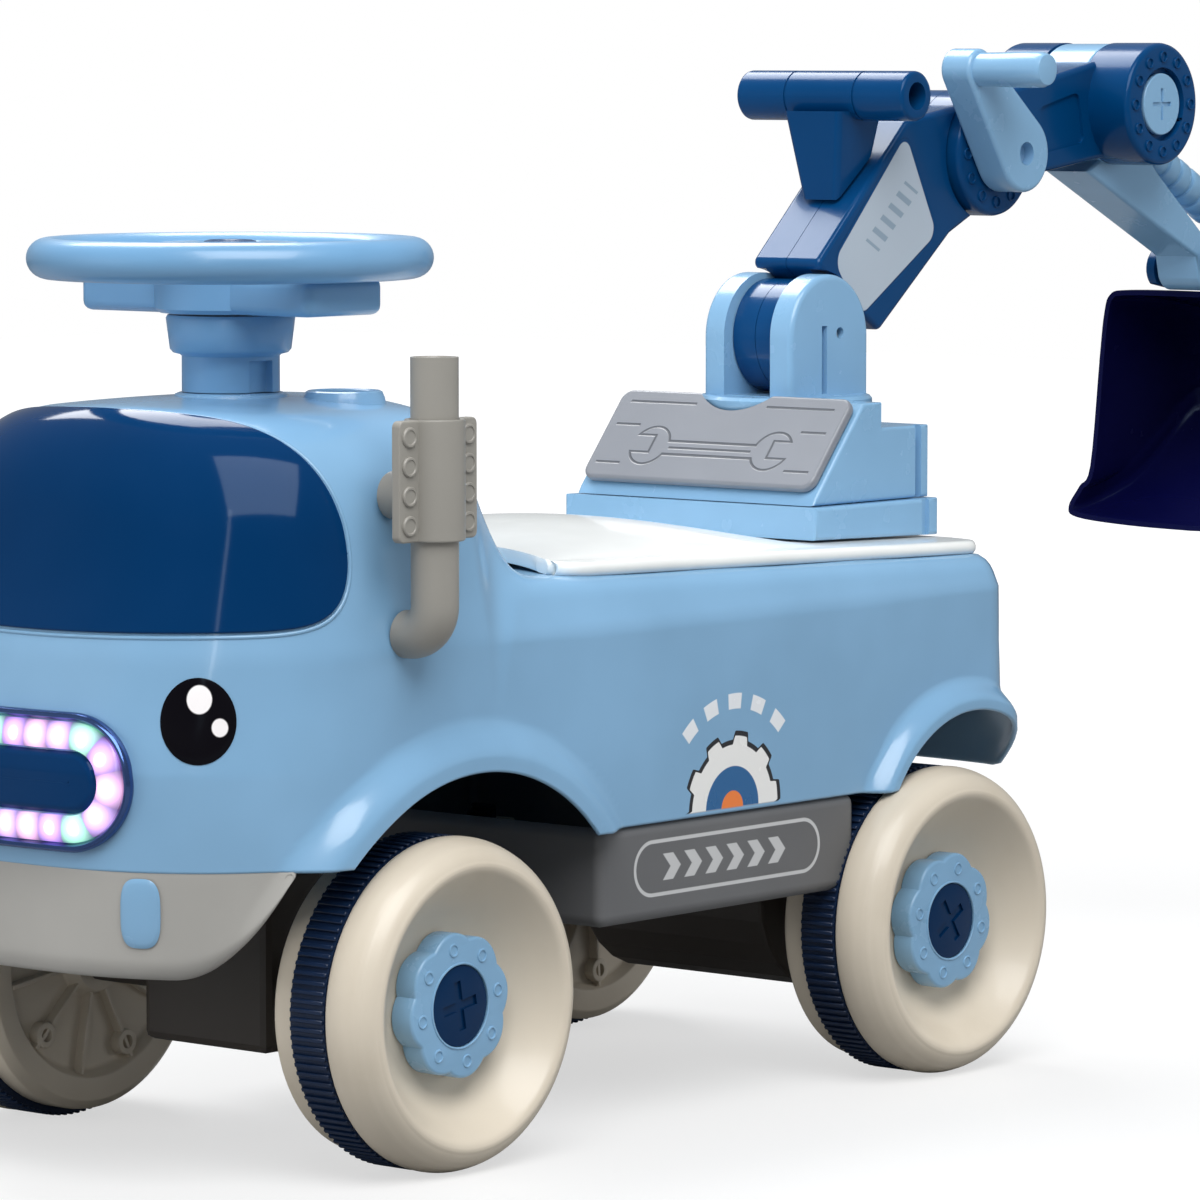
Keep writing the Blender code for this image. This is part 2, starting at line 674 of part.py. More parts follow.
def chassis():
    """The grey sill pan between the wheels, open at its top, and the dark rear axle bracket."""
    top = BODY_BOTTOM_Z - GAP
    outline = rounded([(SILL_FRONT_Y, top), (SILL_REAR_Y, top), (SILL_REAR_Y - 0.050, SILL_BOTTOM_Z),
                       (SILL_FRONT_Y + 0.016, SILL_BOTTOM_Z)], [0, 0, 0.012, 0.010], 3)
    pan = put("sill_pan", plate_mesh(outline, -SILL_HALF_WIDTH, SILL_HALF_WIDTH, 0.003), SILL_GREY, DIGGER)
    hollow = box_mesh((-SILL_HALF_WIDTH + SILL_WALL, SILL_FRONT_Y + SILL_WALL + 0.012,
                       SILL_BOTTOM_Z + SILL_WALL),
                      (SILL_HALF_WIDTH - SILL_WALL, SILL_REAR_Y - 0.058, top + 0.02))
    boolean(pan, "hollow", hollow)
    hatch_half = (0.040, 0.028)
    hatch_y = 0.012
    hatch = box_mesh((-hatch_half[0], hatch_y - hatch_half[1], SILL_BOTTOM_Z - 0.01),
                     (hatch_half[0], hatch_y + hatch_half[1], SILL_BOTTOM_Z + SILL_WALL + 0.01))
    boolean(pan, "hatch", hatch)
    door = box_mesh((-hatch_half[0] + GAP, hatch_y - hatch_half[1] + GAP, SILL_BOTTOM_Z + 0.0005),
                    (hatch_half[0] - GAP, hatch_y + hatch_half[1] - GAP, SILL_BOTTOM_Z + 0.0030))
    put("battery_door", door, SILL_GREY, DIGGER, smooth=False)
    case = box_mesh((-hatch_half[0], hatch_y - hatch_half[1], SILL_BOTTOM_Z + SILL_WALL + 0.0008),
                    (hatch_half[0], hatch_y + hatch_half[1], SILL_BOTTOM_Z + SILL_WALL + 0.022), 0.001, 1)
    put("battery_case", case, UNDER_BROWN, DIGGER, smooth=False)


def axle_group(axle_y, holder, bracket):
    """An axle rod, and the dark moulding that holds it, with spacer tubes out to the wheels."""
    end = WHEEL_INNER_X + INNER_HALF_WIDTH + TREAD_WIDTH + 0.002
    front_or_rear = "front" if axle_y < 0 else "rear"
    rod = rod_mesh("X", -end, end, AXLE_RADIUS, (axle_y, WHEEL_RADIUS), 12)
    put(f"{front_or_rear}_axle_rod", rod, STEEL, holder, smooth=True)
    bpy.data.objects[f"{front_or_rear}_axle_rod"].location = -Vector(holder["place"])
    spacer_end = WHEEL_INNER_X - 0.0030
    tube = rod_mesh("X", -spacer_end, spacer_end, 0.0100, (axle_y, WHEEL_RADIUS), 12)
    bore = rod_mesh("X", -spacer_end - 0.01, spacer_end + 0.01, AXLE_RADIUS + AXLE_CLEARANCE,
                    (axle_y, WHEEL_RADIUS), 12)
    bracket.location = -Vector(holder["place"])
    boolean(bracket, "spacer", tube, "UNION")
    boolean(bracket, "bore", bore)


def wheel(name, side, axle_y, holder):
    """One wheel: inner half, tread band, outer half with its deep bowl, hub cap and plug."""
    place = (side * TRACK_MIDDLE_X, axle_y, WHEEL_RADIUS)
    hub = joint_empty(f"{name}_axis", place, holder)
    inner = WHEEL_INNER_X
    seam_in = inner + INNER_HALF_WIDTH
    seam_out = seam_in + TREAD_WIDTH
    lip = seam_out + OUTER_HALF_WIDTH
    bore = AXLE_RADIUS + AXLE_CLEARANCE
    radius = WHEEL_RADIUS
    turn = (0.0, 0.0, 0.0)

    def turned(part, profile, material, sides=WHEEL_SIDES):
        shape = [(r, x if side > 0 else -x) for r, x in profile]
        mesh = turned_mesh(shape, sides, "X", (0.0, axle_y, WHEEL_RADIUS))
        return put(f"{name}_{part}", mesh, material, hub, turn=turn)

    back = [(bore, seam_in - GAP), (bore, inner - 0.002), (0.016, inner - 0.002), (0.018, inner + 0.005),
            (radius - 0.021, inner + 0.005), (radius - 0.0165, inner), (radius - 0.007, inner),
            (radius - 0.0045, inner + 0.002), (radius - 0.0045, seam_in - GAP)]
    turned("inner_half", back, CREAM)
    turned("tread", [(radius, seam_in), (radius, seam_out), (radius - 0.008, seam_out),
                     (radius - 0.008, seam_in)],
           TREAD_BLUE)
    face = [(bore, seam_in), (0.012, seam_in), (0.012, seam_out - 0.004), (0.036, seam_out - 0.002),
            (radius - 0.010, seam_out + GAP), (radius - 0.002, seam_out + GAP), (radius, seam_out + 0.006),
            (radius - 0.003, lip - 0.007), (radius - 0.0085, lip - 0.001), (radius - 0.0125, lip),
            (radius - 0.0175, lip - 0.002), (radius - 0.028, lip - 0.0135), (0.0385, lip - 0.0215),
            (0.0330, seam_out + 0.002), (bore, seam_out + 0.002)]
    turned("outer_half", face, CREAM)
    cap_low = seam_out + 0.002 + GAP
    cap_high = seam_out + 0.0152
    outline = []
    for k in range(HUB_CAP_LOBES * 4):
        angle = 2 * math.pi * k / (HUB_CAP_LOBES * 4)
        r = HUB_CAP_RADIUS - 0.0022 + 0.0022 * math.cos(HUB_CAP_LOBES * angle)
        outline.append((axle_y + r * math.cos(angle), WHEEL_RADIUS + r * math.sin(angle)))
    low_x, high_x = sorted((side * cap_low, side * cap_high))
    cap = put(f"{name}_hub_cap", plate_mesh(outline, low_x, high_x), SKY_BLUE, hub)
    cap.location = -Vector(place)
    well = sorted((side * (cap_high - 0.002), side * (cap_high + 0.01)))
    boolean(cap, "well", rod_mesh("X", *well, HUB_WELL_RADIUS, (axle_y, WHEEL_RADIUS), 16))
    for part in ("inner_half", "tread", "outer_half"):
        bpy.data.objects[f"{name}_{part}"].location = -Vector(place)
    return hub


def running_gear():
    steer = joint_empty("steering_axis", (0.0, STEER_Y, RIM_Z), DIGGER)
    beam = put("front_axle_beam", box_mesh((-0.040, STEER_Y - 0.0205, WHEEL_RADIUS - 0.031),
                                           (0.040, STEER_Y + 0.0205, WHEEL_RADIUS + 0.055), 0.004, 2),
               UNDER_BROWN, steer)
    axle_group(STEER_Y, steer, beam)
    rear_y = WHEELBASE / 2
    top = BODY_BOTTOM_Z - GAP - 0.002
    cradle = [(rear_y + 0.050, top), (rear_y - 0.050, top)]
    cradle += arc((rear_y, WHEEL_RADIUS + 0.0095), 0.050, 180.0, 360.0, 13)
    bracket = put("rear_axle_bracket", plate_mesh(cradle, -0.060, 0.060, 0.002), UNDER_BROWN, DIGGER)
    trough = [(rear_y + 0.046, top + 0.01), (rear_y - 0.046, top + 0.01)]
    trough += arc((rear_y, WHEEL_RADIUS + 0.0095), 0.046, 180.0, 360.0, 13)
    boolean(bracket, "trough", plate_mesh(trough, -0.056, 0.056))
    axle_group(rear_y, DIGGER, bracket)
    for name, side, axle_y, holder in (("front_left_wheel", 1, STEER_Y, steer),
                                       ("front_right_wheel", -1, STEER_Y, steer),
                                       ("rear_left_wheel", 1, rear_y, DIGGER), ("rear_right_wheel", -1,
                                                                                rear_y, DIGGER)):
        wheel(name, side, axle_y, holder)
    return steer


def steering(steer):
    """Steering wheel with its hub plate, sprung horn button, column and the shaft down to the beam."""
    ring = [(RIM_RADIUS + RIM_THICKNESS * math.cos(a), RIM_THICKNESS * math.sin(a))
            for a in np.linspace(2 * math.pi, 0.0, 8, endpoint=False)]
    rim = put("steering_wheel", turned_mesh(ring, 28, "Z", (0.0, STEER_Y, RIM_Z)), SKY_BLUE, steer)
    plate = rod_mesh("Z", RIM_Z - 0.026, RIM_Z - 0.004, 0.036, (0.0, STEER_Y), 20)
    spokes = box_mesh((-RIM_RADIUS, STEER_Y - 0.016, RIM_Z - 0.010),
                      (RIM_RADIUS, STEER_Y + 0.016, RIM_Z + 0.003), 0.003, 1)
    housing = box_mesh((-0.0725, STEER_Y - 0.026, RIM_Z - 0.026), (0.0725, STEER_Y + 0.026, RIM_Z - 0.009),
                       0.004, 1)
    hub_top = rod_mesh("Z", RIM_Z - 0.012, RIM_Z + 0.007, 0.034, (0.0, STEER_Y), 20)
    well = rod_mesh("Z", RIM_Z - 0.004, RIM_Z + 0.02, BUTTON_RADIUS + 0.0006, (0.0, STEER_Y), 16)
    for name, mesh, operation in (("spokes", spokes, "UNION"), ("plate", plate, "UNION"),
                                  ("housing", housing, "UNION"),
                                  ("hub_top", hub_top, "UNION"), ("well", well, "DIFFERENCE")):
        boolean(rim, name, mesh, operation)
    button_axis = joint_empty("horn_axis", (0.0, STEER_Y, RIM_Z + 0.007), steer)
    button = rod_mesh("Z", RIM_Z - 0.004 + BUTTON_TRAVEL + 0.0005, RIM_Z + 0.0105, BUTTON_RADIUS,
                      (0.0, STEER_Y), 16)
    column = turned_mesh([(0.0, RIM_Z - 0.0265), (0.0300, RIM_Z - 0.0265), (0.0275, RIM_Z - 0.0435),
                          (COLUMN_RADIUS, RIM_Z - 0.0450), (COLUMN_RADIUS, ROOF_Z + 0.0012),
                          (0.0, ROOF_Z + 0.0012)],
                         24, "Z", (0.0, STEER_Y, 0.0), closed=False)
    shaft = rod_mesh("Z", WHEEL_RADIUS + 0.055 + GAP, ROOF_Z + 0.0012 - GAP, SHAFT_RADIUS, (0.0, STEER_Y), 12)
    for name, mesh, material, owner in (("horn_button", button, DEEP_BLUE, button_axis),
                                        ("steering_column", column, SKY_BLUE, steer),
                                        ("steering_shaft", shaft, STEEL, steer)):
        put(name, mesh, material, owner).location = -Vector(owner["place"])
    rim.location = -Vector(steer["place"])


def exhaust():
    """The stack on the left: a pipe that turns into the body, and a sleeve with bolted flanges."""
    wall = reach(np.array([(0.0, PIPE_Y, PIPE_ELBOW_Z)]), np.array([(1.0, 0.0, 0.0)]))[0][0]
    bend = 0.014
    route = [(wall + 0.0022, PIPE_Y, PIPE_ELBOW_Z)]
    route += [(PIPE_X - bend + bend * math.sin(a), PIPE_Y, PIPE_ELBOW_Z + bend - bend * math.cos(a))
              for a in np.radians(np.linspace(0.0, 90.0, 5))]
    route.append((PIPE_X, PIPE_Y, PIPE_TOP_Z))
    pipe = put("exhaust_pipe", tube_mesh(route, PIPE_RADIUS), WARM_GREY, DIGGER)
    mouth = rod_mesh("Z", PIPE_TOP_Z - 0.02, PIPE_TOP_Z + 0.01, PIPE_RADIUS - 0.002, (PIPE_X, PIPE_Y), 12)
    boolean(pipe, "mouth", mouth)
    sleeve = put("exhaust_sleeve", rod_mesh("Z", SLEEVE_LOW_Z, SLEEVE_HIGH_Z, PIPE_RADIUS + 0.0030,
                                            (PIPE_X, PIPE_Y), 16),
                 WARM_GREY, DIGGER)
    flange = box_mesh((PIPE_X - 0.0025, PIPE_Y - 0.0265, SLEEVE_LOW_Z),
                      (PIPE_X + 0.0025, PIPE_Y + 0.0265, SLEEVE_HIGH_Z))
    stub_z = (SLEEVE_LOW_Z + SLEEVE_HIGH_Z) / 2 - 0.008
    stub_wall = reach(np.array([(0.0, PIPE_Y, stub_z - 0.011)]), np.array([(1.0, 0.0, 0.0)]))[0][0]
    stub = rod_mesh("X", stub_wall + 0.0010, PIPE_X, 0.0110, (PIPE_Y, stub_z), 12)
    bore = rod_mesh("Z", SLEEVE_LOW_Z - 0.01, SLEEVE_HIGH_Z + 0.01, PIPE_RADIUS + 0.0006, (PIPE_X, PIPE_Y),
                    12)
    for name, mesh, operation in (("flange", flange, "UNION"), ("stub", stub, "UNION"),
                                  ("bore", bore, "DIFFERENCE")):
        boolean(sleeve, name, mesh, operation)


def seat_rise(x, y):
    """How far the seat's top stands above the bed: a flat rim and a crowned saddle in front of the plinth."""
    along = np.clip((y + 0.060) / 0.200, 0.0, 1.0)
    across = np.clip(1.0 - (x / (SEAT_HALF_WIDTH - 0.012)) ** 2, 0.0, 1.0)
    return SEAT_CROWN * np.sin(math.pi * along) ** 0.8 * across ** 0.7


def seat():
    """A white moulded panel over the bed; its front edge follows the bow of the cab's back."""
    front = CAB_BACK_Y + 0.046
    rear = SEAT_REAR_Y
    wide = SEAT_HALF_WIDTH
    stations = [(front, wide - 0.013), (front + 0.006, wide - 0.004), (front + 0.018, wide), (0.003, wide),
                (0.045, wide),
                (0.095, wide), (PLINTH_FRONT_Y - 0.008, wide), (0.195, wide), (rear - 0.020,
                                                                               wide), (rear - 0.006,
                                                                                       wide - 0.006),
                (rear, wide - 0.020)]
    rows = []
    for share in (1.0, 0.955, 0.80, 0.50, 0.0):
        row = []
        for k, (y, half) in enumerate(stations):
            x = half * share
            bow = CAB_BACK_BOW * x * x * max(0.0, 1.0 - (y - front) / 0.10)
            lip = 0.0012 if share == 1.0 or k in (0, len(stations) - 1) else 0.0
            row.append((x, y - bow,
                        bed_height(y - bow) + 0.0010 + SEAT_THICKNESS - lip + float(seat_rise(x, y))))
        rows.append(row)
    mesh = face_outward(grid_mesh(rows), (0.0, 0.05, 0.0))
    panel = put("seat_panel", mesh, WHITE, DIGGER)
    shell_modifiers(panel, SEAT_THICKNESS - 0.0012)


def plinth():
    """The stand of the arm: a flange on the bed, a tower with a sloping front, and a tool tray on it."""
    lift = 0.0010 + SEAT_THICKNESS + GAP
    base = [(PLINTH_FRONT_Y, bed_height(PLINTH_FRONT_Y) + lift),
            (PLINTH_REAR_Y, bed_height(PLINTH_REAR_Y) + lift),
            (PLINTH_REAR_Y, PLINTH_FLANGE_TOP_Z), (PLINTH_FRONT_Y, PLINTH_FLANGE_TOP_Z)]
    put("plinth_base", plate_mesh(base, -PLINTH_HALF_WIDTH, PLINTH_HALF_WIDTH, 0.0015), SKY_BLUE, DIGGER)
    foot_z = PLINTH_FLANGE_TOP_Z + GAP
    slope_low = Vector((PLINTH_FRONT_Y + 0.0065, foot_z + 0.004))
    slope_high = Vector((PLINTH_FRONT_Y + 0.0450, TOWER_TOP_Z))
    tower = [(PLINTH_FRONT_Y + 0.0040, foot_z), (PLINTH_REAR_Y - 0.002, foot_z),
             (PLINTH_REAR_Y - 0.002, TOWER_STEP_Z),
             (PLINTH_FRONT_Y + 0.0610, TOWER_STEP_Z), (PLINTH_FRONT_Y + 0.0610,
                                                       TOWER_TOP_Z), tuple(slope_high), tuple(slope_low)]
    body = put("plinth_tower", plate_mesh(tower, -TOWER_HALF_WIDTH, TOWER_HALF_WIDTH, 0.0015), SKY_BLUE,
               DIGGER)
    seatring = TURRET_RADIUS + 0.0015
    boolean(body, "notch", rod_mesh("Z", TOWER_STEP_Z, TOWER_TOP_Z + 0.03, seatring, (0.0, TURRET_Y), 32))
    boolean(body, "spigot_hole", rod_mesh("Z", TOWER_STEP_Z - 0.020, TOWER_STEP_Z + 0.01, 0.0126,
                                          (0.0, TURRET_Y), 16))
    along = (slope_high - slope_low).normalized()
    face = Vector((-along.y, along.x))
    low = slope_low + along * 0.002 + face * 0.0005
    high = slope_high - along * 0.001 + face * 0.0005
    length = (high - low).length
    half = TOWER_HALF_WIDTH - 0.0025
    outline = rounded([(-half, 0.0), (half, 0.0), (half, length), (-half, length)], 0.007, 3)
    mesh = plate_mesh(outline, 0.0, TRAY_THICKNESS, 0.0010)
    lay = Matrix(((0.0, -1.0, 0.0, 0.0), (face.x, 0.0, along.x, low.x), (face.y, 0.0, along.y, low.y),
                  (0.0, 0.0, 0.0, 1.0)))
    mesh.transform(lay)
    tray = put("tool_tray", mesh, TRAY_GREY, DIGGER)
    boolean(tray, "notch", rod_mesh("Z", TOWER_STEP_Z - 0.02, TOWER_TOP_Z + 0.03, seatring, (0.0, TURRET_Y),
                                    32))


def hole_x(radius, centre, half=0.08, sides=12):
    return rod_mesh("X", -half, half, radius, centre, sides)


def turret():
    """The swivelling clevis: a round foot with a spigot down into the tower, and two ears."""
    axis = joint_empty("turret_axis", (0.0, TURRET_Y, TOWER_STEP_Z), DIGGER)
    foot_z = TOWER_STEP_Z + GAP
    foot = turned_mesh([(0.0, TOWER_TOP_Z + 0.0010), (TURRET_RADIUS, TOWER_TOP_Z + 0.0010),
                        (TURRET_RADIUS, TOWER_TOP_Z - 0.004),
                        (TURRET_RADIUS - 0.006, foot_z), (0.0120, foot_z), (0.0120, foot_z - 0.018),
                        (0.0, foot_z - 0.018)],
                       32, "Z", (0.0, TURRET_Y, 0.0), closed=False)
    piece = put("turret", foot, SKY_BLUE, axis)
    piece.location = -Vector(axis["place"])
    half_y = EAR_RADIUS
    top = arc((TURRET_Y + 0.0005, BOOM_PIVOT[1]), half_y, 0.0, 180.0, 11)
    ear = top + [(TURRET_Y + 0.0005 - half_y, TOWER_TOP_Z - 0.003),
                 (TURRET_Y + 0.0005 + half_y, TOWER_TOP_Z - 0.003)]
    boolean(piece, "ears", plate_mesh(ear, -EAR_OUTER_X, EAR_OUTER_X, 0.0015), "UNION")
    slot = box_mesh((-EAR_INNER_X, TURRET_Y - 0.06, TOWER_TOP_Z + 0.0012),
                    (EAR_INNER_X, TURRET_Y + 0.06, TOWER_TOP_Z + 0.10))
    boolean(piece, "slot", slot)
    boolean(piece, "pin_hole", hole_x(ARM_PIN_RADIUS + GAP, BOOM_PIVOT))
    pin = put("boom_pin", rod_mesh("X", -EAR_OUTER_X + 0.002, EAR_OUTER_X - 0.002, ARM_PIN_RADIUS - GAP,
                                   BOOM_PIVOT, 12), STEEL, axis)
    pin.location = -Vector(axis["place"])
    return axis


def boom(turret_axis):
    """Two dark half shells on a tongue, the handle post on top and the crossbar."""
    axis = joint_empty("boom_axis", (0.0, *BOOM_PIVOT), turret_axis)
    home = -Vector(axis["place"])
    lean = Vector((math.cos(math.radians(42.0)), math.sin(math.radians(42.0))))
    up = Vector((-lean.y, lean.x))
    start = Vector(BOOM_PIVOT)
    half = BOOM_DEPTH / 2
    crest = start + lean * 0.128 + up * (half + 0.002)
    sole = start + lean * 0.115 - up * (half + 0.002)
    lower = start + lean * 0.036 - up * (half - 0.002)
    upper = start + lean * 0.020 + up * (half - 0.001)
    elbow = Vector(ELBOW)
    outline = rounded([tuple(upper), tuple(lower), tuple(sole), tuple(elbow + Vector((-0.004, -0.030))),
                       tuple(elbow + Vector((-0.020, 0.026))), tuple(crest)], [0.004, 0.003, 0.004, 0.004,
                                                                               0.004, 0.006], 2)
    knuckle = arc(ELBOW, KNUCKLE_RADIUS, 0.0, 360.0, 25)[:-1]
    root = arc(BOOM_PIVOT, EAR_RADIUS - 0.003, 0.0, 360.0, 21)[:-1]
    ear_clear = EAR_RADIUS + 0.0022
    wide = BOOM_HALF_WIDTH - 0.0002
    for side, sign in (("left", 1), ("right", -1)):
        shell = put(f"boom_shell_{side}", plate_mesh(outline, -BOOM_HALF_WIDTH, BOOM_HALF_WIDTH, 0.0015),
                    DEEP_BLUE, axis)
        shell.location = home
        outer = sorted((sign * TONGUE_HALF_WIDTH, sign * 0.08))
        outer_knuckle = sorted((sign * KNUCKLE_HALF_WIDTH, sign * 0.08))
        boolean(shell, "tongue", plate_mesh(root, -wide, wide), "UNION")
        boolean(shell, "knuckle", plate_mesh(knuckle, -wide, wide), "UNION")
        boolean(shell, "ear_clearance", rod_mesh("X", *outer, ear_clear, (TURRET_Y + 0.0005, BOOM_PIVOT[1]),
                                                 28))
        boolean(shell, "fork_clearance", rod_mesh("X", *outer_knuckle, KNUCKLE_RADIUS + 0.0020, ELBOW, 28))
        boolean(shell, "pivot_hole", hole_x(ARM_PIN_RADIUS + PIN_CLEARANCE, BOOM_PIVOT))
        boolean(shell, "elbow_hole", hole_x(ARM_PIN_RADIUS + PIN_CLEARANCE, ELBOW))
        other_half = sorted((sign * GAP / 2, -sign * 0.1))
        boolean(shell, "parting", box_mesh((other_half[0], 0.15, 0.30), (other_half[1], 0.45, 0.55)))
    post_foot = start + lean * 0.079 + up * (half - 0.010)
    bar_low = HANDLE[1] - HANDLE_RADIUS
    bm = bmesh.new()
    bmesh.ops.create_cone(bm, cap_ends=True, segments=4, radius1=0.0165, radius2=0.0265,
                          depth=bar_low + 0.005 - post_foot.y,
                          matrix=Matrix.Rotation(math.radians(45), 4, "Z"))
    bmesh.ops.translate(bm, verts=bm.verts, vec=(0.0, HANDLE[0], (bar_low + 0.005 + post_foot.y) / 2))
    bmesh.ops.bevel(bm, geom=[e for e in bm.edges if abs(e.verts[0].co.z - e.verts[1].co.z) > 0.01],
                    offset=0.003,
                    segments=2, profile=0.5, affect="EDGES")
    bar = rod_mesh("X", -HANDLE_HALF_LENGTH, HANDLE_HALF_LENGTH, HANDLE_RADIUS, HANDLE, 16)
    handle = put("boom_handle", bar, DEEP_BLUE, axis)
    handle.location = home
    boolean(handle, "post", as_mesh(bm), "UNION")
    gap_up = up * (0.0015 + GAP)
    below = [tuple(upper + gap_up - lean * 0.03), tuple(upper - up * 0.06), tuple(crest - up * 0.06),
             tuple(crest + gap_up)]
    boolean(handle, "boom_clearance", plate_mesh(below, -0.06, 0.06))
    ends = rod_mesh("X", HANDLE_HALF_LENGTH - 0.012, HANDLE_HALF_LENGTH + 0.01, 0.006, HANDLE, 12)
    other = rod_mesh("X", -HANDLE_HALF_LENGTH - 0.01, -HANDLE_HALF_LENGTH + 0.012, 0.006, HANDLE, 12)
    boolean(handle, "left_hollow", ends)
    boolean(handle, "right_hollow", other)
    return axis


def tapered(start, end, start_radius, end_radius, count=9):
    """The outline of a bar with round ends of two sizes, in (y, z)."""
    start, end = Vector(start), Vector(end)
    heading = math.degrees(math.atan2(end.y - start.y, end.x - start.x))
    tilt = math.degrees(math.asin((start_radius - end_radius) / (end - start).length))
    return (arc(start, start_radius, heading + 90 - tilt, heading + 270 + tilt, count)
            + arc(end, end_radius, heading - 90 + tilt, heading + 90 - tilt, count))


def stick(boom_axis):
    """The middle arm: a box with a fork at each end, the elbow shaft and the hand lever on it."""
    axis = joint_empty("elbow_axis", (0.0, *ELBOW), boom_axis)
    home = -Vector(axis["place"])
    outer = Vector(OUTER_PIVOT)
    inner = Vector(ELBOW)
    along = (outer - inner).normalized()
    up = Vector((-along.y, along.x))
    box = [inner + along * 0.030 + up * 0.0285, inner + along * 0.030 - up * 0.0200,
           outer - along * 0.020 - up * 0.0255,
           outer - along * 0.020 + up * 0.0275]
    beam = put("stick", plate_mesh([tuple(p) for p in box], -BOOM_HALF_WIDTH, BOOM_HALF_WIDTH, 0.0015),
               DEEP_BLUE, axis)
    beam.location = home
    fork_in = KNUCKLE_HALF_WIDTH + FORK_GAP
    elbow_ring = arc(ELBOW, KNUCKLE_RADIUS, 0.0, 360.0, 25)[:-1]
    outer_ring = arc(OUTER_PIVOT, KNUCKLE_RADIUS, 0.0, 360.0, 25)[:-1]
    boolean(beam, "elbow_caps", plate_mesh(elbow_ring, -0.045, 0.029, 0.0010), "UNION")
    boolean(beam, "outer_caps", plate_mesh(outer_ring, -0.048, 0.048, 0.0010), "UNION")
    for name, centre in (("elbow_gap", ELBOW), ("outer_gap", OUTER_PIVOT)):
        boolean(beam, name, rod_mesh("X", -fork_in, fork_in, KNUCKLE_RADIUS + 0.0015, centre, 28))
    boolean(beam, "elbow_hole", hole_x(ARM_PIN_RADIUS + GAP, ELBOW, 0.06))
    boolean(beam, "outer_hole", hole_x(ARM_PIN_RADIUS + GAP, OUTER_PIVOT, 0.06))
    boolean(beam, "cap_well", rod_mesh("X", 0.044, 0.06, 0.0160, OUTER_PIVOT, 16))
    shaft = put("elbow_shaft", rod_mesh("X", -0.043, 0.0285, ARM_PIN_RADIUS - GAP, ELBOW, 12), STEEL, axis)
    pin = put("outer_shaft", rod_mesh("X", -0.046, 0.0435, ARM_PIN_RADIUS - GAP, OUTER_PIVOT, 12), STEEL,
              axis)
    cap = put("outer_screw_cap", rod_mesh("X", 0.0440 + GAP, 0.0470, 0.0155, OUTER_PIVOT, 16), SKY_BLUE, axis)
    lever_low = 0.029 + GAP
    lever = put("hand_lever", plate_mesh(tapered(ELBOW, LEVER_TOP, 0.0205, 0.0110), lever_low, LEVER_NEAR_X,
                                         0.0015), SKY_BLUE, axis)
    grip = rod_mesh("X", LEVER_NEAR_X - 0.006, LEVER_NEAR_X + 0.043, 0.0095, LEVER_TOP, 14)
    boolean(lever, "grip", grip, "UNION")
    boolean(lever, "pivot_recess", rod_mesh("X", LEVER_NEAR_X - 0.006, LEVER_NEAR_X + 0.01, 0.0055, ELBOW,
                                            12))
    for piece in (shaft, pin, cap, lever):
        piece.location = home
    return axis


def forearm(elbow_axis):
    """The light-blue beam down to the bucket, with its ribbed piston."""
    axis = joint_empty("forearm_axis", (0.0, *OUTER_PIVOT), elbow_axis)
    home = -Vector(axis["place"])
    hub = arc(OUTER_PIVOT, KNUCKLE_RADIUS - 0.0005, 0.0, 360.0, 25)[:-1]
    half = KNUCKLE_HALF_WIDTH - 0.0003
    beam = put("forearm", plate_mesh(hub, -half, half, 0.0008), SKY_BLUE, axis)
    beam.location = home
    pivot = Vector(BUCKET_PIVOT)
    down = [(0.478, 0.4475), (0.583, 0.3985)] + arc(BUCKET_PIVOT, 0.0120, 200.0, 390.0,
                                                    9) + [(0.545, 0.446), (0.520, 0.470)]
    boolean(beam, "beam", plate_mesh(down, -half + 0.001, half - 0.001, 0.0010), "UNION")
    boolean(beam, "hub_hole", hole_x(ARM_PIN_RADIUS + PIN_CLEARANCE, OUTER_PIVOT))
    boolean(beam, "bucket_hole", hole_x(ARM_PIN_RADIUS + PIN_CLEARANCE - 0.001, BUCKET_PIVOT))
    first = Vector((0.5420, 0.4619))
    last = pivot + Vector((0.0200, 0.0330))
    length = (last - first).length
    ribs = 7
    profile = [(0.0, 0.0)]
    for k in range(ribs):
        start = length * k / ribs
        profile += [(0.0085, start), (0.0105, start + length * 0.25 / ribs),
                    (0.0105, start + length * 0.75 / ribs)]
    profile += [(0.0085, length), (0.0, length)]
    mesh = turned_mesh(profile, 10, "Z", closed=False)
    heading = math.atan2(last.x - first.x, last.y - first.y)
    mesh.transform(Matrix.Translation((0.0, first.x, first.y)) @ Matrix.Rotation(-heading, 4, "X"))
    put("piston", mesh, SKY_BLUE, axis).location = home
    return axis


def bucket_outline(share):
    """The bucket's section at a share of its depth, as (x, z) from the top middle round to the lip middle."""
    top = BUCKET_TOP_Z - 0.010 * share ** 2
    low = BUCKET_LIP_Z + 0.052 * share ** 1.5
    wide = BUCKET_HALF_WIDTH - 0.008 * share
    lip = wide + (BUCKET_LIP_HALF_WIDTH - BUCKET_HALF_WIDTH) * max(0.0, 1.0 - 2.2 * share)
    high = wide - 0.009
    neck = low + 0.030 - 0.010 * share
    return [(0.0, top), (high * 0.55, top), (high - 0.010, top - 0.001), (high, top - 0.010),
            (high + 0.003, top - 0.040), (wide, neck), ((wide + lip) / 2, (neck + low + 0.006) / 2),
            (lip, low + 0.006),
            (lip - 0.006, low), (lip * 0.5, low - 0.003), (0.0, low - 0.004)]


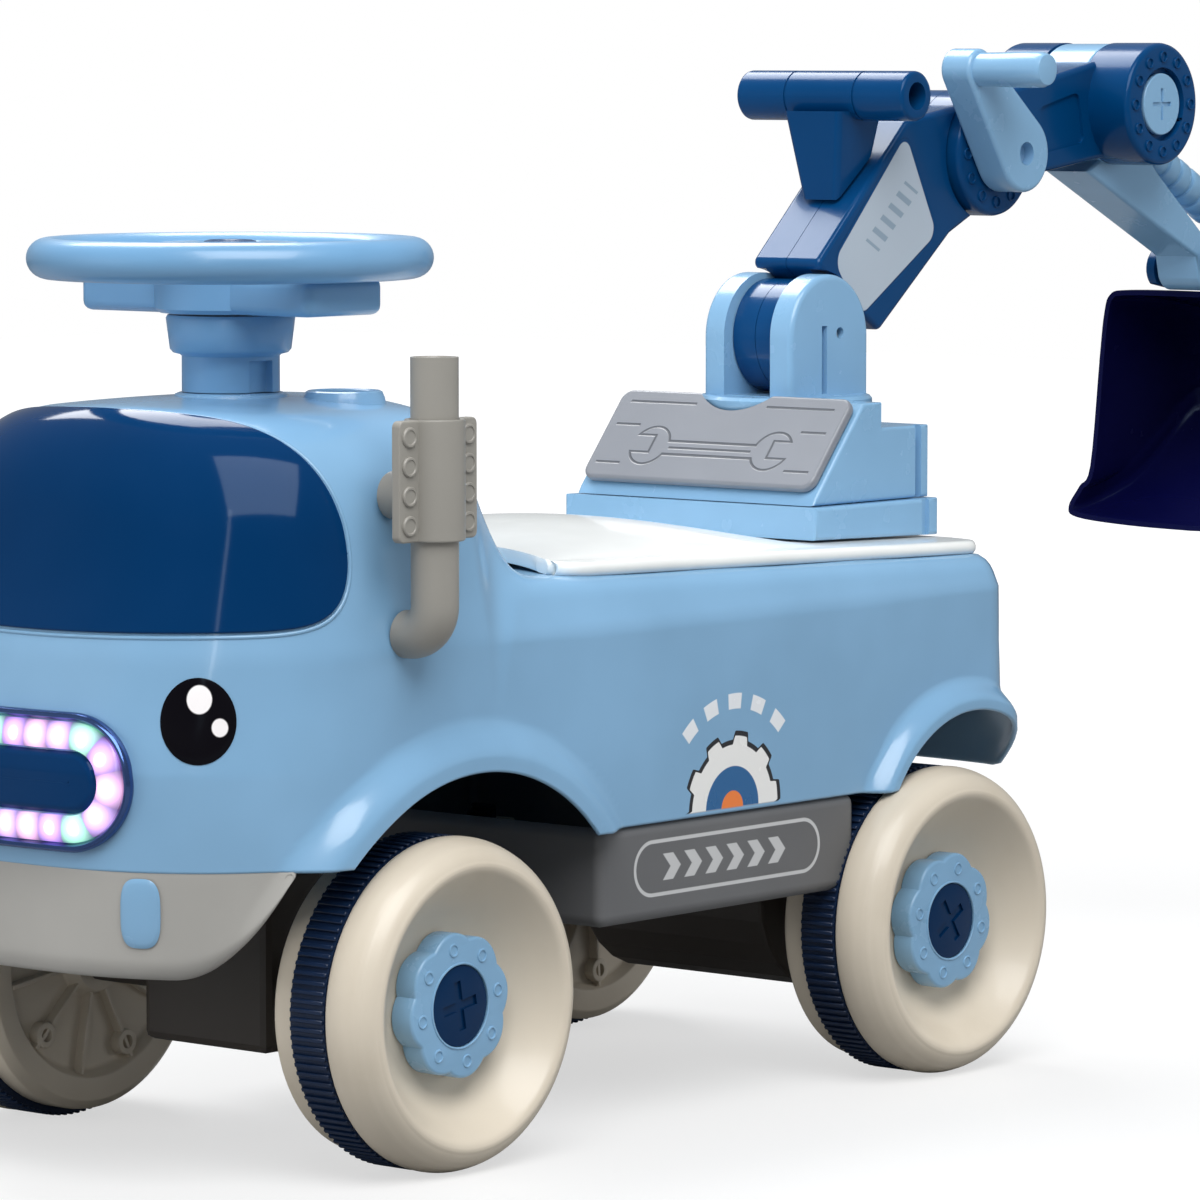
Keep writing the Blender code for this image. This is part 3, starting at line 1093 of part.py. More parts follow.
def bucket(forearm_axis):
    """The scoop, open towards the cab, its hinge bracket and the hinge pin."""
    axis = joint_empty("bucket_axis", (0.0, *BUCKET_PIVOT), forearm_axis)
    home = -Vector(axis["place"])
    rows = []
    for share in (0.0, 0.10, 0.35, 0.65, 0.90, 1.0):
        y = BUCKET_FRONT_Y + BUCKET_DEPTH * share
        section = np.array(bucket_outline(share))
        if share == 1.0:
            middle = section.mean(axis=0) * (0.0, 1.0)
            section = middle + (section - middle) * 0.90
        rows.append([(x, y, z) for x, z in section])
    middle_z = sum(p[2] for p in rows[-1]) / len(rows[-1])
    for squeeze in (0.55, 0.0):
        rows.append([(x * squeeze, BUCKET_REAR_Y, middle_z + (z - middle_z) * squeeze) for x, _,
                     z in rows[5]])
    mesh = face_outward(grid_mesh(rows), (0.0, BUCKET_FRONT_Y + 0.04, 0.31))
    scoop = put("bucket", mesh, NAVY, axis)
    scoop.location = home
    shell_modifiers(scoop, BUCKET_WALL)
    ear_in = KNUCKLE_HALF_WIDTH + 0.0006
    floor_z = BUCKET_TOP_Z + 0.0006
    foot = [(0.585, floor_z + 0.004), (0.610, floor_z), (0.655, floor_z), (0.655, floor_z + 0.006),
            (0.625, 0.404)]
    outline = foot[1:] + arc(BUCKET_PIVOT, 0.0115, 80.0, 230.0, 7)
    bracket = put("bucket_bracket", plate_mesh(outline, -ear_in - 0.006, ear_in + 0.006, 0.0010), DEEP_BLUE,
                  axis)
    boolean(bracket, "fork", box_mesh((-ear_in, 0.55, 0.30), (ear_in, 0.6260, 0.45)))
    boolean(bracket, "pin_hole", hole_x(0.0050, BUCKET_PIVOT))
    pin = put("bucket_pin", rod_mesh("X", -ear_in - 0.005, ear_in + 0.005, 0.0045, BUCKET_PIVOT, 12), STEEL,
              axis)
    for piece in (bracket, pin):
        piece.location = home


def main():
    body_shell()
    windshield()
    front_lamp()
    eyes_and_accents()
    front_bumper()
    chassis()
    steering(running_gear())
    exhaust()
    seat()
    plinth()
    bucket(forearm(stick(boom(turret()))))


main()
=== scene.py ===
# %% [markdown]
# # A ride-on digger
# A small child sits on this toy lorry, steers it and pushes it along with the feet. A hand-worked digger
# arm stands on its back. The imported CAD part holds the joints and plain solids; this script dresses it:
# each piece is made again with a finer shape and a real finish, and rides on the CAD body that moves it.

import math

import bmesh
import bpy
import numpy as np
from mathutils import Matrix, Vector


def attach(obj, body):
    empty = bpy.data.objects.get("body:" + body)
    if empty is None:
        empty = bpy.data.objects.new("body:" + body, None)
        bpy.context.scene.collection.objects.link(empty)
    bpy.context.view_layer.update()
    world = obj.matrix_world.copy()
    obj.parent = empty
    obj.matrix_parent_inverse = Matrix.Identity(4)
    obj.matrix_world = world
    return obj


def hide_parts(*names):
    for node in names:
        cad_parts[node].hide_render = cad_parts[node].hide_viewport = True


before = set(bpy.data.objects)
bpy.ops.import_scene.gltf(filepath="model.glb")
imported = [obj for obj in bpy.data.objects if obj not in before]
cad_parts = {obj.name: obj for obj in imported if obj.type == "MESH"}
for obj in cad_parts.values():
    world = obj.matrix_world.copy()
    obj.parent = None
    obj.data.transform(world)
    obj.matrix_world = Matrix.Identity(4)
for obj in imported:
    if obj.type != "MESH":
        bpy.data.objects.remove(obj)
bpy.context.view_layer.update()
scene = bpy.context.scene

# %% [markdown]
# ## The vehicle's own frame
# The lorry is easiest to describe from the point on the floor halfway between its axles: -Y is the way it
# drives, +X its left side. The CAD's zero lies 180 mm further back, so every finished mesh is moved by
# that.

# %% Sizes that many pieces share
SHIFT = 0.180
GAP = 0.0004
WHEEL_RADIUS = 0.0775
AXLE_Y = 0.1865
SEAM_IN, SEAM_OUT = 0.107, 0.1275
HALF_WIDTH, BODY_BOTTOM, BELT = 0.1305, 0.147, 0.242
NOSE_Y, NOSE_REACH, TAIL_Y, TAIL_REACH = -0.210, 0.121, 0.235, 0.051
BED_Z, BED_FRONT_Y, BED_FALL = 0.267, -0.100, 0.026
ROOF_Z, ROOF_PEAK_Y = 0.353, -0.190
CAB_BACK_Y, CAB_BACK_BOW, CAB_BACK_SWEEP = -0.092, 3.0, 0.0129
ARCHES = ((-0.165, 0.070, 0.114, 0.138), (0.2135, 0.109, 0.0738, 0.0890))
BOOM_PIVOT, ELBOW, OUTER, BUCKET_PIVOT = (0.2357, 0.3660), (0.375, 0.459), (0.501, 0.4843), (0.597, 0.391)
TURRET_Y = 0.2315
print("axles at", -AXLE_Y, AXLE_Y, "wheel radius", WHEEL_RADIUS)

# %% [markdown]
# ## Writing shader maths as Python
# A material's pattern is easier to read as an expression than as a list of links. The class below wraps one
# socket, so that `1 - mask * 0.5` adds the Math nodes by itself, and one function makes any other node.

# %% A wrapped socket, and any node


def any_node(tree, kind, settings=None, values=None, out=0):
    """Adds a node, with its settings first and then its sockets' values or links. Returns an output."""
    made = tree.nodes.new(kind)
    for key, value in (settings or {}).items():
        if key == "stops":
            ramp = made.color_ramp
            while len(ramp.elements) < len(value):
                ramp.elements.new(0.5)
            for element, (place, colour) in zip(ramp.elements, value):
                element.position, element.color = place, (*colour, 1.0)
        else:
            setattr(made, key, value)
    for key, value in (values or {}).items():
        socket = made.inputs[key]
        if isinstance(value, Socket):
            tree.links.new(value.socket, socket)
        elif hasattr(value, "__len__") and len(value) == 3 and len(socket.default_value) == 4:
            socket.default_value = (*value, 1.0)
        else:
            socket.default_value = value
    return Socket(tree, made.outputs[out])


class Socket:
    """One socket of a node tree. Arithmetic on it adds Math nodes."""

    def __init__(self, tree, socket):
        self.tree, self.socket = tree, socket

    def math(self, operation, *others, swap=False):
        terms = (*others, self) if swap else (self, *others)
        return any_node(self.tree, "ShaderNodeMath", {"operation": operation}, dict(enumerate(terms)))

    def __add__(self, other):
        return self.math("ADD", other)

    def __radd__(self, other):
        return self.math("ADD", other)

    def __sub__(self, other):
        return self.math("SUBTRACT", other)

    def __rsub__(self, other):
        return self.math("SUBTRACT", other, swap=True)

    def __mul__(self, other):
        return self.math("MULTIPLY", other)

    def __rmul__(self, other):
        return self.math("MULTIPLY", other)

    def __truediv__(self, other):
        return self.math("DIVIDE", other)

    def __abs__(self):
        return self.math("ABSOLUTE")

    def low(self, other):
        return self.math("MINIMUM", other)

    def high(self, other):
        return self.math("MAXIMUM", other)

    def power(self, other):
        return self.math("POWER", other)

    def root(self):
        return self.math("SQRT")

    def fraction(self):
        return self.math("FRACT")

    def floor(self):
        return self.math("FLOOR")

    def wave(self):
        return self.math("SINE")

    def ramp(self, start, end):
        """0 below start and 1 above end, with a soft step between; start may be above end."""
        values = {"Value": self, "From Min": min(start, end), "From Max": max(start, end)}
        values.update({"To Min": float(start > end), "To Max": float(start < end)})
        return any_node(self.tree, "ShaderNodeMapRange", {"interpolation_type": "SMOOTHSTEP"}, values)

    def parts(self):
        return [any_node(self.tree, "ShaderNodeSeparateXYZ", None, {0: self}, k) for k in range(3)]


def blend_colour(tree, share, first, second):
    return any_node(tree, "ShaderNodeMix", {"data_type": "RGBA"}, {0: share, 6: first, 7: second}, 2)


def noise(tree, place, scale, detail=2.0):
    return any_node(tree, "ShaderNodeTexNoise", None, {"Vector": place, "Scale": scale, "Detail": detail})


def srgb(red, green, blue):
    """A colour from 0 to 255 values, as the linear numbers that a shader takes."""
    shares = [value / 255 for value in (red, green, blue)]
    return tuple(c / 12.92 if c <= 0.04045 else ((c + 0.055) / 1.055) ** 2.4 for c in shares)


print("shader helpers ready; mid grey is", srgb(128, 128, 128)[0])

# %% [markdown]
# ## Moulded plastic
# Nearly everything here is moulded polyethylene or ABS. Real plastic is never one flat colour: the pigment
# drifts a little, the mould leaves a slow ripple, and fine grain and faint handling marks break the gloss.
# One recipe gives all of these, and a `detail` function may add what only one piece has, such as a print.
# Dark plastics get a weaker and bluer shine, or the pale studio would turn them grey.

# %% The recipe for plastic


def blend(first, second, share):
    return tuple(a + (b - a) * share for a, b in zip(first, second))


def new_material(name):
    """A material with its tree and its Principled shader."""
    material = bpy.data.materials.new(name)
    material.use_nodes = True
    tree = material.node_tree
    return material, tree, next(node for node in tree.nodes if node.type == "BSDF_PRINCIPLED")


FULL_SHINE = 0.5


def plastic(name, colour, roughness, ripple=0.10, grain=0.10, coat=0.0, metallic=0.0, detail=None, marks=0.05,
            shine=FULL_SHINE):
    material, tree, shader = new_material(name)
    shader.inputs["Metallic"].default_value = metallic
    shader.inputs["Coat Weight"].default_value = coat
    shader.inputs["Coat Roughness"].default_value = 0.06
    shader.inputs["Specular IOR Level"].default_value = shine
    if shine < FULL_SHINE:
        shader.inputs["Specular Tint"].default_value = (*blend(colour, (0.6, 0.8, 1.0), 0.45), 1.0)
    place = any_node(tree, "ShaderNodeTexCoord", None, None, 3)
    drift = noise(tree, place, 9.0, 3.0)
    fine = noise(tree, place, 700.0, 2.0)
    rubbed = noise(tree, place, 60.0, 5.0).ramp(0.45, 0.95)
    deep = tuple(c * 0.93 for c in colour)
    pale = tuple(min(1.0, c * 1.05 + 0.003) for c in colour)
    base = blend_colour(tree, drift.ramp(0.3, 0.7), deep, pale)
    rough = roughness * 0.94 + drift * (roughness * 0.12) + rubbed * marks
    height = noise(tree, place, 24.0, 1.0) * ripple + fine * (grain * 0.06)
    if detail:
        base, rough, height = detail(tree, place, base, rough, height)
    bump = any_node(tree, "ShaderNodeBump", None, {"Strength": 0.35, "Distance": 0.0012, "Height": height})
    for key, value in (("Base Color", base), ("Roughness", rough), ("Normal", bump)):
        tree.links.new(value.socket, shader.inputs[key])
    return material


SKY = srgb(130, 174, 209)
DEEP = srgb(0, 62, 112)
sky_plastic = plastic("sky_plastic", SKY, 0.26, coat=0.25)
deep_plastic = plastic("deep_plastic", DEEP, 0.22, coat=0.1, shine=0.35)
grey_plastic = plastic("grey_plastic", srgb(170, 168, 163), 0.42)
# Dark brown for the parts under the body: painted shade.
under_shade_plastic = plastic("under_shade_plastic", srgb(58, 53, 49), 0.5)
tread_plastic = plastic("tread_plastic", srgb(3, 30, 62), 0.45)
print("plain plastics made")

# %% [markdown]
# ## Making meshes from rows of points
# Most mouldings are smooth surfaces with a rounded rim. A grid of points, worked out with numpy, gives full
# control of such a shape. The helpers below turn such grids into closed meshes.

# %% Grids, turned shapes and thick sheets


def grid_mesh(grids):
    """A closed mesh from several (points, wrap_rows, wrap_columns) grids; touching points are merged."""
    bm = bmesh.new()
    for points, wrap_rows, wrap_columns in grids:
        rows, columns = points.shape[:2]
        verts = [[bm.verts.new(p) for p in row] for row in points]
        for i in range(rows if wrap_rows else rows - 1):
            for j in range(columns if wrap_columns else columns - 1):
                corner = (verts[i][j], verts[i][(j + 1) % columns], verts[(i + 1) % rows][(j + 1) % columns],
                          verts[(i + 1) % rows][j])
                bm.faces.new(corner)
    bmesh.ops.remove_doubles(bm, verts=bm.verts, dist=0.000004)
    bmesh.ops.dissolve_degenerate(bm, dist=0.000002, edges=bm.edges)
    return closed_mesh(bm)


def closed_mesh(bm):
    bmesh.ops.recalc_face_normals(bm, faces=bm.faces)
    mesh = bpy.data.meshes.new("shape")
    bm.to_mesh(mesh)
    bm.free()
    return mesh


def unit(vectors):
    return vectors / np.maximum(np.linalg.norm(vectors, axis=-1, keepdims=True), 1e-12)


def thick_sheet(points, normals, thickness, lift=0.0, wrap=False, rim_steps=5):
    """A sheet with half-round rims: the grid lifted along its normals, and a second one below it."""
    top = points + normals * lift
    middle = top - normals * (thickness / 2)
    grids = [(top, False, wrap), (top - normals * thickness, False, wrap)]
    rows, columns = points.shape[:2]
    rims = []
    if wrap:
        rims = [[(i, j) for j in range(columns)] for i in (0, rows - 1)]
        within = {0: 1, rows - 1: rows - 2}
        inner = [[(within[i], j) for i, j in rim] for rim in rims]
        if np.ptp(points[-1].reshape(-1, 3), axis=0).max() < 1e-6 or np.allclose(points[-1][:, 0], 0.0):
            rims, inner = rims[:1], inner[:1]
    else:
        loop = [(0, j) for j in range(columns)] + [(i, columns - 1) for i in range(1, rows)]
        loop += [(rows - 1, j) for j in range(columns - 2, -1, -1)] + [(i, 0) for i in range(rows - 2, 0, -1)]
        rims = [loop]
        inner = [[(min(max(i, 1), rows - 2), min(max(j, 1), columns - 2)) for i, j in loop]]
    for rim, near in zip(rims, inner):
        here = np.array([middle[c] for c in rim])
        normal = np.array([normals[c] for c in rim])
        away = here - np.array([middle[c] for c in near])
        away = unit(away - normal * (away * normal).sum(axis=1)[:, None])
        turns = np.linspace(0.0, math.pi, rim_steps + 1)
        strip = np.array([here + (normal * math.cos(t) + away * math.sin(t)) * (thickness / 2)
                          for t in turns])
        grids.append((strip, False, True))
    return grid_mesh(grids)


def turned(profile, sides, centre=(0.0, 0.0, 0.0), axis="Z", closed=True):
    """A turned solid from (radius, height) points."""
    angles = np.linspace(0.0, 2 * math.pi, sides, endpoint=False)
    profile = np.array(profile, float)
    ring = np.stack([np.cos(angles), np.sin(angles)], axis=1)
    flat = profile[:, None, :1] * ring[None]
    height = np.repeat(profile[:, 1:], sides, axis=1)[:, :, None]
    if axis == "Z":
        points = np.concatenate([flat, height], axis=2)
    else:
        points = np.concatenate([height, flat], axis=2)
    return grid_mesh([(points + np.array(centre), closed, True)])


def smooth_path(points, per_span=6):
    """A Catmull-Rom curve through points."""
    points = np.array(points, float)
    padded = np.concatenate([points[:1], points, points[-1:]])
    made = []
    for a, b, c, d in zip(padded, padded[1:], padded[2:], padded[3:]):
        for t in np.linspace(0.0, 1.0, per_span, endpoint=False):
            bend = (2 * a - 5 * b + 4 * c - d) * t * t + (3 * b - a - 3 * c + d) * t ** 3
            made.append(0.5 * (2 * b + (c - a) * t + bend))
    return np.array(made + [points[-1]])


def arc(centre, radius, start, end, count):
    angles = np.radians(np.linspace(start, end, count))
    return [(centre[0] + radius * math.cos(a), centre[1] + radius * math.sin(a)) for a in angles]


def rounded(corners, radii, count=6):
    """A polygon's outline with its corners rounded; a radius of zero leaves a corner sharp."""
    outline = []
    radii = radii if isinstance(radii, (list, tuple)) else [radii] * len(corners)
    for i, corner in enumerate(corners):
        here = Vector(corner)
        before = (Vector(corners[i - 1]) - here).normalized()
        after = (Vector(corners[(i + 1) % len(corners)]) - here).normalized()
        if radii[i] == 0:
            outline.append(tuple(here))
            continue
        half = math.acos(max(-1.0, min(1.0, before.dot(after)))) / 2
        centre = here + (before + after).normalized() * (radii[i] / math.sin(half))
        first = here + before * (radii[i] / math.tan(half)) - centre
        sweep = first.angle_signed(here + after * (radii[i] / math.tan(half)) - centre)
        for k in range(count + 1):
            spoke = first.copy()
            spoke.rotate(Matrix.Rotation(-sweep * k / count, 2))
            outline.append(tuple(centre + spoke))
    return outline


print("mesh helpers ready")

# %% [markdown]
# Flat mouldings with rounded edges start as 2D curves: Blender fills the outline, makes it thick and rounds
# its rim in one go. Booleans cut holes and slots, and Weighted Normal keeps the flat faces looking flat
# beside the small roundings.

# %% Plates, rods and cuts
TURNS = {"X": Matrix.Rotation(math.radians(90), 4, "Y"), "Y": Matrix.Rotation(math.radians(-90), 4, "X"),
         "Z": Matrix.Identity(4)}


def evaluated(data, modifiers):
    """The mesh of a curve or mesh after a list of (type, settings) modifiers."""
    holder = bpy.data.objects.new("holder", data)
    scene.collection.objects.link(holder)
    helpers = []
    for kind, settings in modifiers:
        modifier = holder.modifiers.new(kind.lower(), kind)
        for key, value in settings.items():
            if key == "mesh":
                value.materials.clear()
                helper = bpy.data.objects.new("helper", value)
                scene.collection.objects.link(helper)
                helpers.append(helper)
                modifier.object = helper
            else:
                setattr(modifier, key, value)
    bpy.context.view_layer.update()
    graph = bpy.context.evaluated_depsgraph_get()
    mesh = bpy.data.meshes.new_from_object(holder.evaluated_get(graph))
    for helper in [holder] + helpers:
        used = helper.data
        bpy.data.objects.remove(helper, do_unlink=True)
        if isinstance(used, bpy.types.Mesh) and not used.users:
            bpy.data.meshes.remove(used)
    return mesh


def plate(outline, low_x, high_x, edge=0.0, steps=3):
    """A flat outline in the YZ plane, thick along X, with its rim rounded."""
    curve = bpy.data.curves.new("outline", "CURVE")
    curve.dimensions = "2D"
    curve.fill_mode = "BOTH"
    spline = curve.splines.new("POLY")
    spline.points.add(len(outline) - 1)
    for point, (y, z) in zip(spline.points, outline):
        point.co = (y, z, 0.0, 1.0)
    spline.use_cyclic_u = True
    curve.extrude = (high_x - low_x) / 2 - edge
    curve.bevel_depth = edge
    curve.bevel_resolution = steps if edge else 0
    curve.offset = -edge
    mesh = evaluated(curve, [])
    bm = bmesh.new()
    bm.from_mesh(mesh)
    bmesh.ops.remove_doubles(bm, verts=bm.verts, dist=0.00001)
    stand = Matrix(((0, 0, 1, (low_x + high_x) / 2), (1, 0, 0, 0), (0, 1, 0, 0), (0, 0, 0, 1)))
    bmesh.ops.transform(bm, matrix=stand, verts=bm.verts)
    return closed_mesh(bm)


def block(low, high, edge=0.0, steps=3):
    bm = bmesh.new()
    size = Vector(high) - Vector(low)
    middle = (Vector(high) + Vector(low)) / 2
    bmesh.ops.create_cube(bm, size=1.0, matrix=Matrix.Translation(middle) @ Matrix.Diagonal((*size, 1.0)))
    if edge:
        bmesh.ops.bevel(bm, geom=bm.edges[:], offset=edge, segments=steps, profile=0.5, affect="EDGES",
                        clamp_overlap=True)
    return closed_mesh(bm)


def rod(axis, low, high, radius, centre, sides=48, edge=0.0):
    """A cylinder along an axis, with rounded rims; centre gives the other two coordinates."""
    if edge:
        corner = [(radius - edge + edge * math.cos(a), edge * math.sin(a))
                  for a in np.radians((0, 30, 60, 90))]
        profile = [(0.0, low)] + [(r, low + edge - h) for r, h in reversed(corner)]
        profile += [(r, high - edge + h) for r, h in corner] + [(0.0, high)]
    else:
        profile = [(0.0, low), (radius, low), (radius, high), (0.0, high)]
    mesh = turned(profile, sides, closed=False)
    mesh.transform(TURNS[axis])
    place = list(centre)
    place.insert("XYZ".index(axis), 0.0)
    mesh.transform(Matrix.Translation(place))
    return mesh


def joined(*meshes):
    bm = bmesh.new()
    for mesh in meshes:
        bm.from_mesh(mesh)
    made = bpy.data.meshes.new("shape")
    bm.to_mesh(made)
    bm.free()
    return made


def cut(mesh, *changes):
    """Booleans in order: each change is a mesh to take away, or ("UNION", mesh)."""
    for change in changes:
        operation, other = change if isinstance(change, tuple) else ("DIFFERENCE", change)
        mesh = evaluated(mesh, [("BOOLEAN", {"operation": operation, "solver": "EXACT", "mesh": other})])
    return mesh


SHARP_EDGE = math.radians(38.0)


def piece(name, mesh, material, body, replaces=(), weigh=True):
    """Puts a finished mesh in the scene, on the CAD body that moves it."""
    mesh.transform(Matrix.Translation((0.0, -SHIFT, 0.0)))
    mesh.shade_smooth()
    mesh.set_sharp_from_angle(angle=SHARP_EDGE)
    if weigh:
        mesh = evaluated(mesh, [("WEIGHTED_NORMAL", {"keep_sharp": True, "weight": 60})])
    mesh.name = name
    mesh.materials.clear()
    mesh.materials.append(material)
    made = bpy.data.objects.new(name, mesh)
    scene.collection.objects.link(made)
    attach(made, body)
    if replaces:
        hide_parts(*replaces)
    print(f"{name}: {len(mesh.polygons)} faces on {body}")
    return made


print("plates and cuts ready")

# %% [markdown]
# ## A Geometry Nodes tree for what repeats
# Tread ribs, rings on the hub caps, studs and piston ribs are one small shape, many times over. The tree
# below copies an item along a step and about the Z axis by a turn, then makes the copies real.

# %% The repeating tree


def make_repeat_tree():
    tree = bpy.data.node_groups.new("repeat_item", "GeometryNodeTree")
    face = tree.interface
    for name, kind in (("Geometry", "NodeSocketGeometry"), ("Item", "NodeSocketObject"),
                       ("Count", "NodeSocketInt"),
                       ("Step", "NodeSocketVector"), ("Turn", "NodeSocketFloat"),
                       ("Material", "NodeSocketMaterial")):
        face.new_socket(name, in_out="INPUT", socket_type=kind)
    face.new_socket("Geometry", in_out="OUTPUT", socket_type="NodeSocketGeometry")
    add = tree.nodes.new
    given, result = add("NodeGroupInput"), add("NodeGroupOutput")
    points, copies = add("GeometryNodePoints"), add("GeometryNodeInstanceOnPoints")
    item = add("GeometryNodeObjectInfo")
    index, place, angle = add("GeometryNodeInputIndex"), add("ShaderNodeVectorMath"), add("ShaderNodeMath")
    turn, real = add("ShaderNodeCombineXYZ"), add("GeometryNodeRealizeInstances")
    dress = add("GeometryNodeSetMaterial")
    place.operation, angle.operation = "SCALE", "MULTIPLY"
    for source, target in (
        (given.outputs["Count"], points.inputs["Count"]), (given.outputs["Step"], place.inputs[0]),
        (index.outputs[0], place.inputs["Scale"]), (place.outputs[0], points.inputs["Position"]),
        (given.outputs["Turn"], angle.inputs[0]), (index.outputs[0], angle.inputs[1]),
                           (angle.outputs[0], turn.inputs[2]),
        (given.outputs["Item"], item.inputs[0]), (item.outputs["Geometry"], copies.inputs["Instance"]),
        (points.outputs[0], copies.inputs["Points"]), (turn.outputs[0], copies.inputs["Rotation"]),
        (copies.outputs[0], real.inputs[0]), (real.outputs[0], dress.inputs[0]),
        (given.outputs["Material"], dress.inputs["Material"]), (dress.outputs[0], result.inputs[0]),
    ):
        tree.links.new(source, target)
    return tree


REPEAT = make_repeat_tree()


def repeated(item, count, step=(0.0, 0.0, 0.0), turn=0.0, material=None):
    """Copies of a small mesh, as one plain mesh."""
    source = bpy.data.objects.new("item", item)
    host = bpy.data.objects.new("host", bpy.data.meshes.new("host"))
    for helper in (source, host):
        scene.collection.objects.link(helper)
    modifier = host.modifiers.new("repeat", "NODES")
    modifier.node_group = REPEAT
    ids = {s.name: s.identifier for s in REPEAT.interface.items_tree if s.in_out == "INPUT"}
    for key, value in (("Item", source), ("Count", count), ("Step", step), ("Turn", turn),
                       ("Material", material)):
        modifier[ids[key]] = value
    bpy.context.view_layer.update()
    mesh = bpy.data.meshes.new_from_object(host.evaluated_get(bpy.context.evaluated_depsgraph_get()))
    for helper in (source, host):
        bpy.data.objects.remove(helper, do_unlink=True)
    return mesh


print("repeat tree inputs:", [s.name for s in REPEAT.interface.items_tree if s.in_out == "INPUT"])

# %% [markdown]
# ## The body's surface as a formula
# The shell is one blow moulding: a lorry's cab that flows into a bed, with two wheel arches. Its surface is
# written as a signed distance, below zero inside: a rounded plan that narrows with height, a lid with the
# cab's concave back, and lips round the arches. Rays from the middle find the surface, so the windshield,
# lamp, eyes and bumper can all be laid on exactly the same shape.

# %% Signed distance and rays


def cab_share(x, y):
    return 0.5 * (1.0 - np.tanh((y - CAB_BACK_Y + CAB_BACK_BOW * x * x) / CAB_BACK_SWEEP))


def bed_height(y):
    return BED_Z - BED_FALL * (y - BED_FRONT_Y)


def top_height(x, y):
    roof = ROOF_Z - 0.9 * x * x - 0.35 * (y - ROOF_PEAK_Y) ** 2
    return bed_height(y) + (roof - bed_height(y)) * cab_share(x, y)


def lip(y, z):
    """How far the fender lips stand out, by distance from each wheel arch."""
    out = np.zeros_like(y * z)
    for middle_y, middle_z, inner, outer in ARCHES:
        share = np.clip((outer - np.hypot(y - middle_y, z - middle_z)) / (outer - inner), 0.0, 1.0)
        swell = np.minimum(1.0, 1.25 * share)
        out = np.maximum(out, 0.010 * swell * swell * (3.0 - 2.0 * swell))
    return out


def body_distance(x, y, z):
    share = cab_share(x, y)
    above, below = np.maximum(z - BELT, 0.0), np.maximum(BELT - z, 0.0)
    half = np.maximum(HALF_WIDTH - 0.03 * below - (0.15 * share + 0.42 * (1.0 - share)) * above, 0.02)
    nose = np.maximum(NOSE_REACH - 0.17 * np.maximum(z - 0.19, 0.0) - 0.11 * above, 0.02)
    tail = np.maximum(TAIL_REACH - 0.195 * np.maximum(z - BODY_BOTTOM, 0.0), 0.01)
    ahead, behind = np.maximum(NOSE_Y - y, 0.0) / nose, np.maximum(y - TAIL_Y, 0.0) / tail
    power = np.where(ahead > 0.0, 2.5, 2.6)
    ring = ((np.abs(x) / half) ** power + (ahead + behind) ** power) ** (1.0 / power)
    side = (ring - 1.0) * half - lip(y, z)
    step = 0.0005
    slope_y = (top_height(x, y + step) - top_height(x, y - step)) / (2 * step)
    slope_x = (top_height(x + step, y) - top_height(x - step, y)) / (2 * step)
    lid = (z - top_height(x, y)) / np.sqrt(1.0 + slope_y ** 2 + slope_x ** 2)
    width = 0.010 + 0.035 * share
    mix = np.clip(0.5 + 0.5 * (side - lid) / width, 0.0, 1.0)
    return lid + (side - lid) * mix + width * mix * (1.0 - mix)


def reach(start, direction, far=0.45):
    """Where rays from inside the body leave it, by halving."""
    start, direction = np.broadcast_arrays(np.asarray(start, float), np.asarray(direction, float))
    low, high = np.zeros(start.shape[:-1]), np.full(start.shape[:-1], far)
    for _ in range(42):
        middle = (low + high) / 2
        inside = body_distance(*np.moveaxis(start + direction * middle[..., None], -1, 0)) < 0.0
        low, high = np.where(inside, middle, low), np.where(inside, high, middle)
    return start + direction * low[..., None]


def outward(points):
    """Unit normals of the body's surface."""
    slopes = []
    for axis in range(3):
        shift = np.zeros(3)
        shift[axis] = 0.0003
        after, before = (body_distance(*np.moveaxis(points + way, -1, 0)) for way in (shift, -shift))
        slopes.append(after - before)
    return unit(np.stack(slopes, axis=-1))


print("roof at the column", round(float(top_height(np.array(0.0), np.array(-AXLE_Y))), 4))

# %% [markdown]
# ## The body shell
# The paint is the plastic itself, so one finish covers the shell. A printed badge sits on each side: here a
# plain gear under an arc of blocks, drawn by distance maths in the shader. The grid follows the shell from
# the nose round to the tail; its lower row runs along the wheel arches, and the wall has a rounded rim. A
# small cup and a low boss for the steering column stand on the roof.

# %% The shell's finish, with a generic badge


def ring_mask(distance, radius, half_width, soft=0.00025):
    """1 on a ring of a given radius, from a distance socket."""
    return abs(distance - radius).ramp(half_width + soft, half_width - soft)


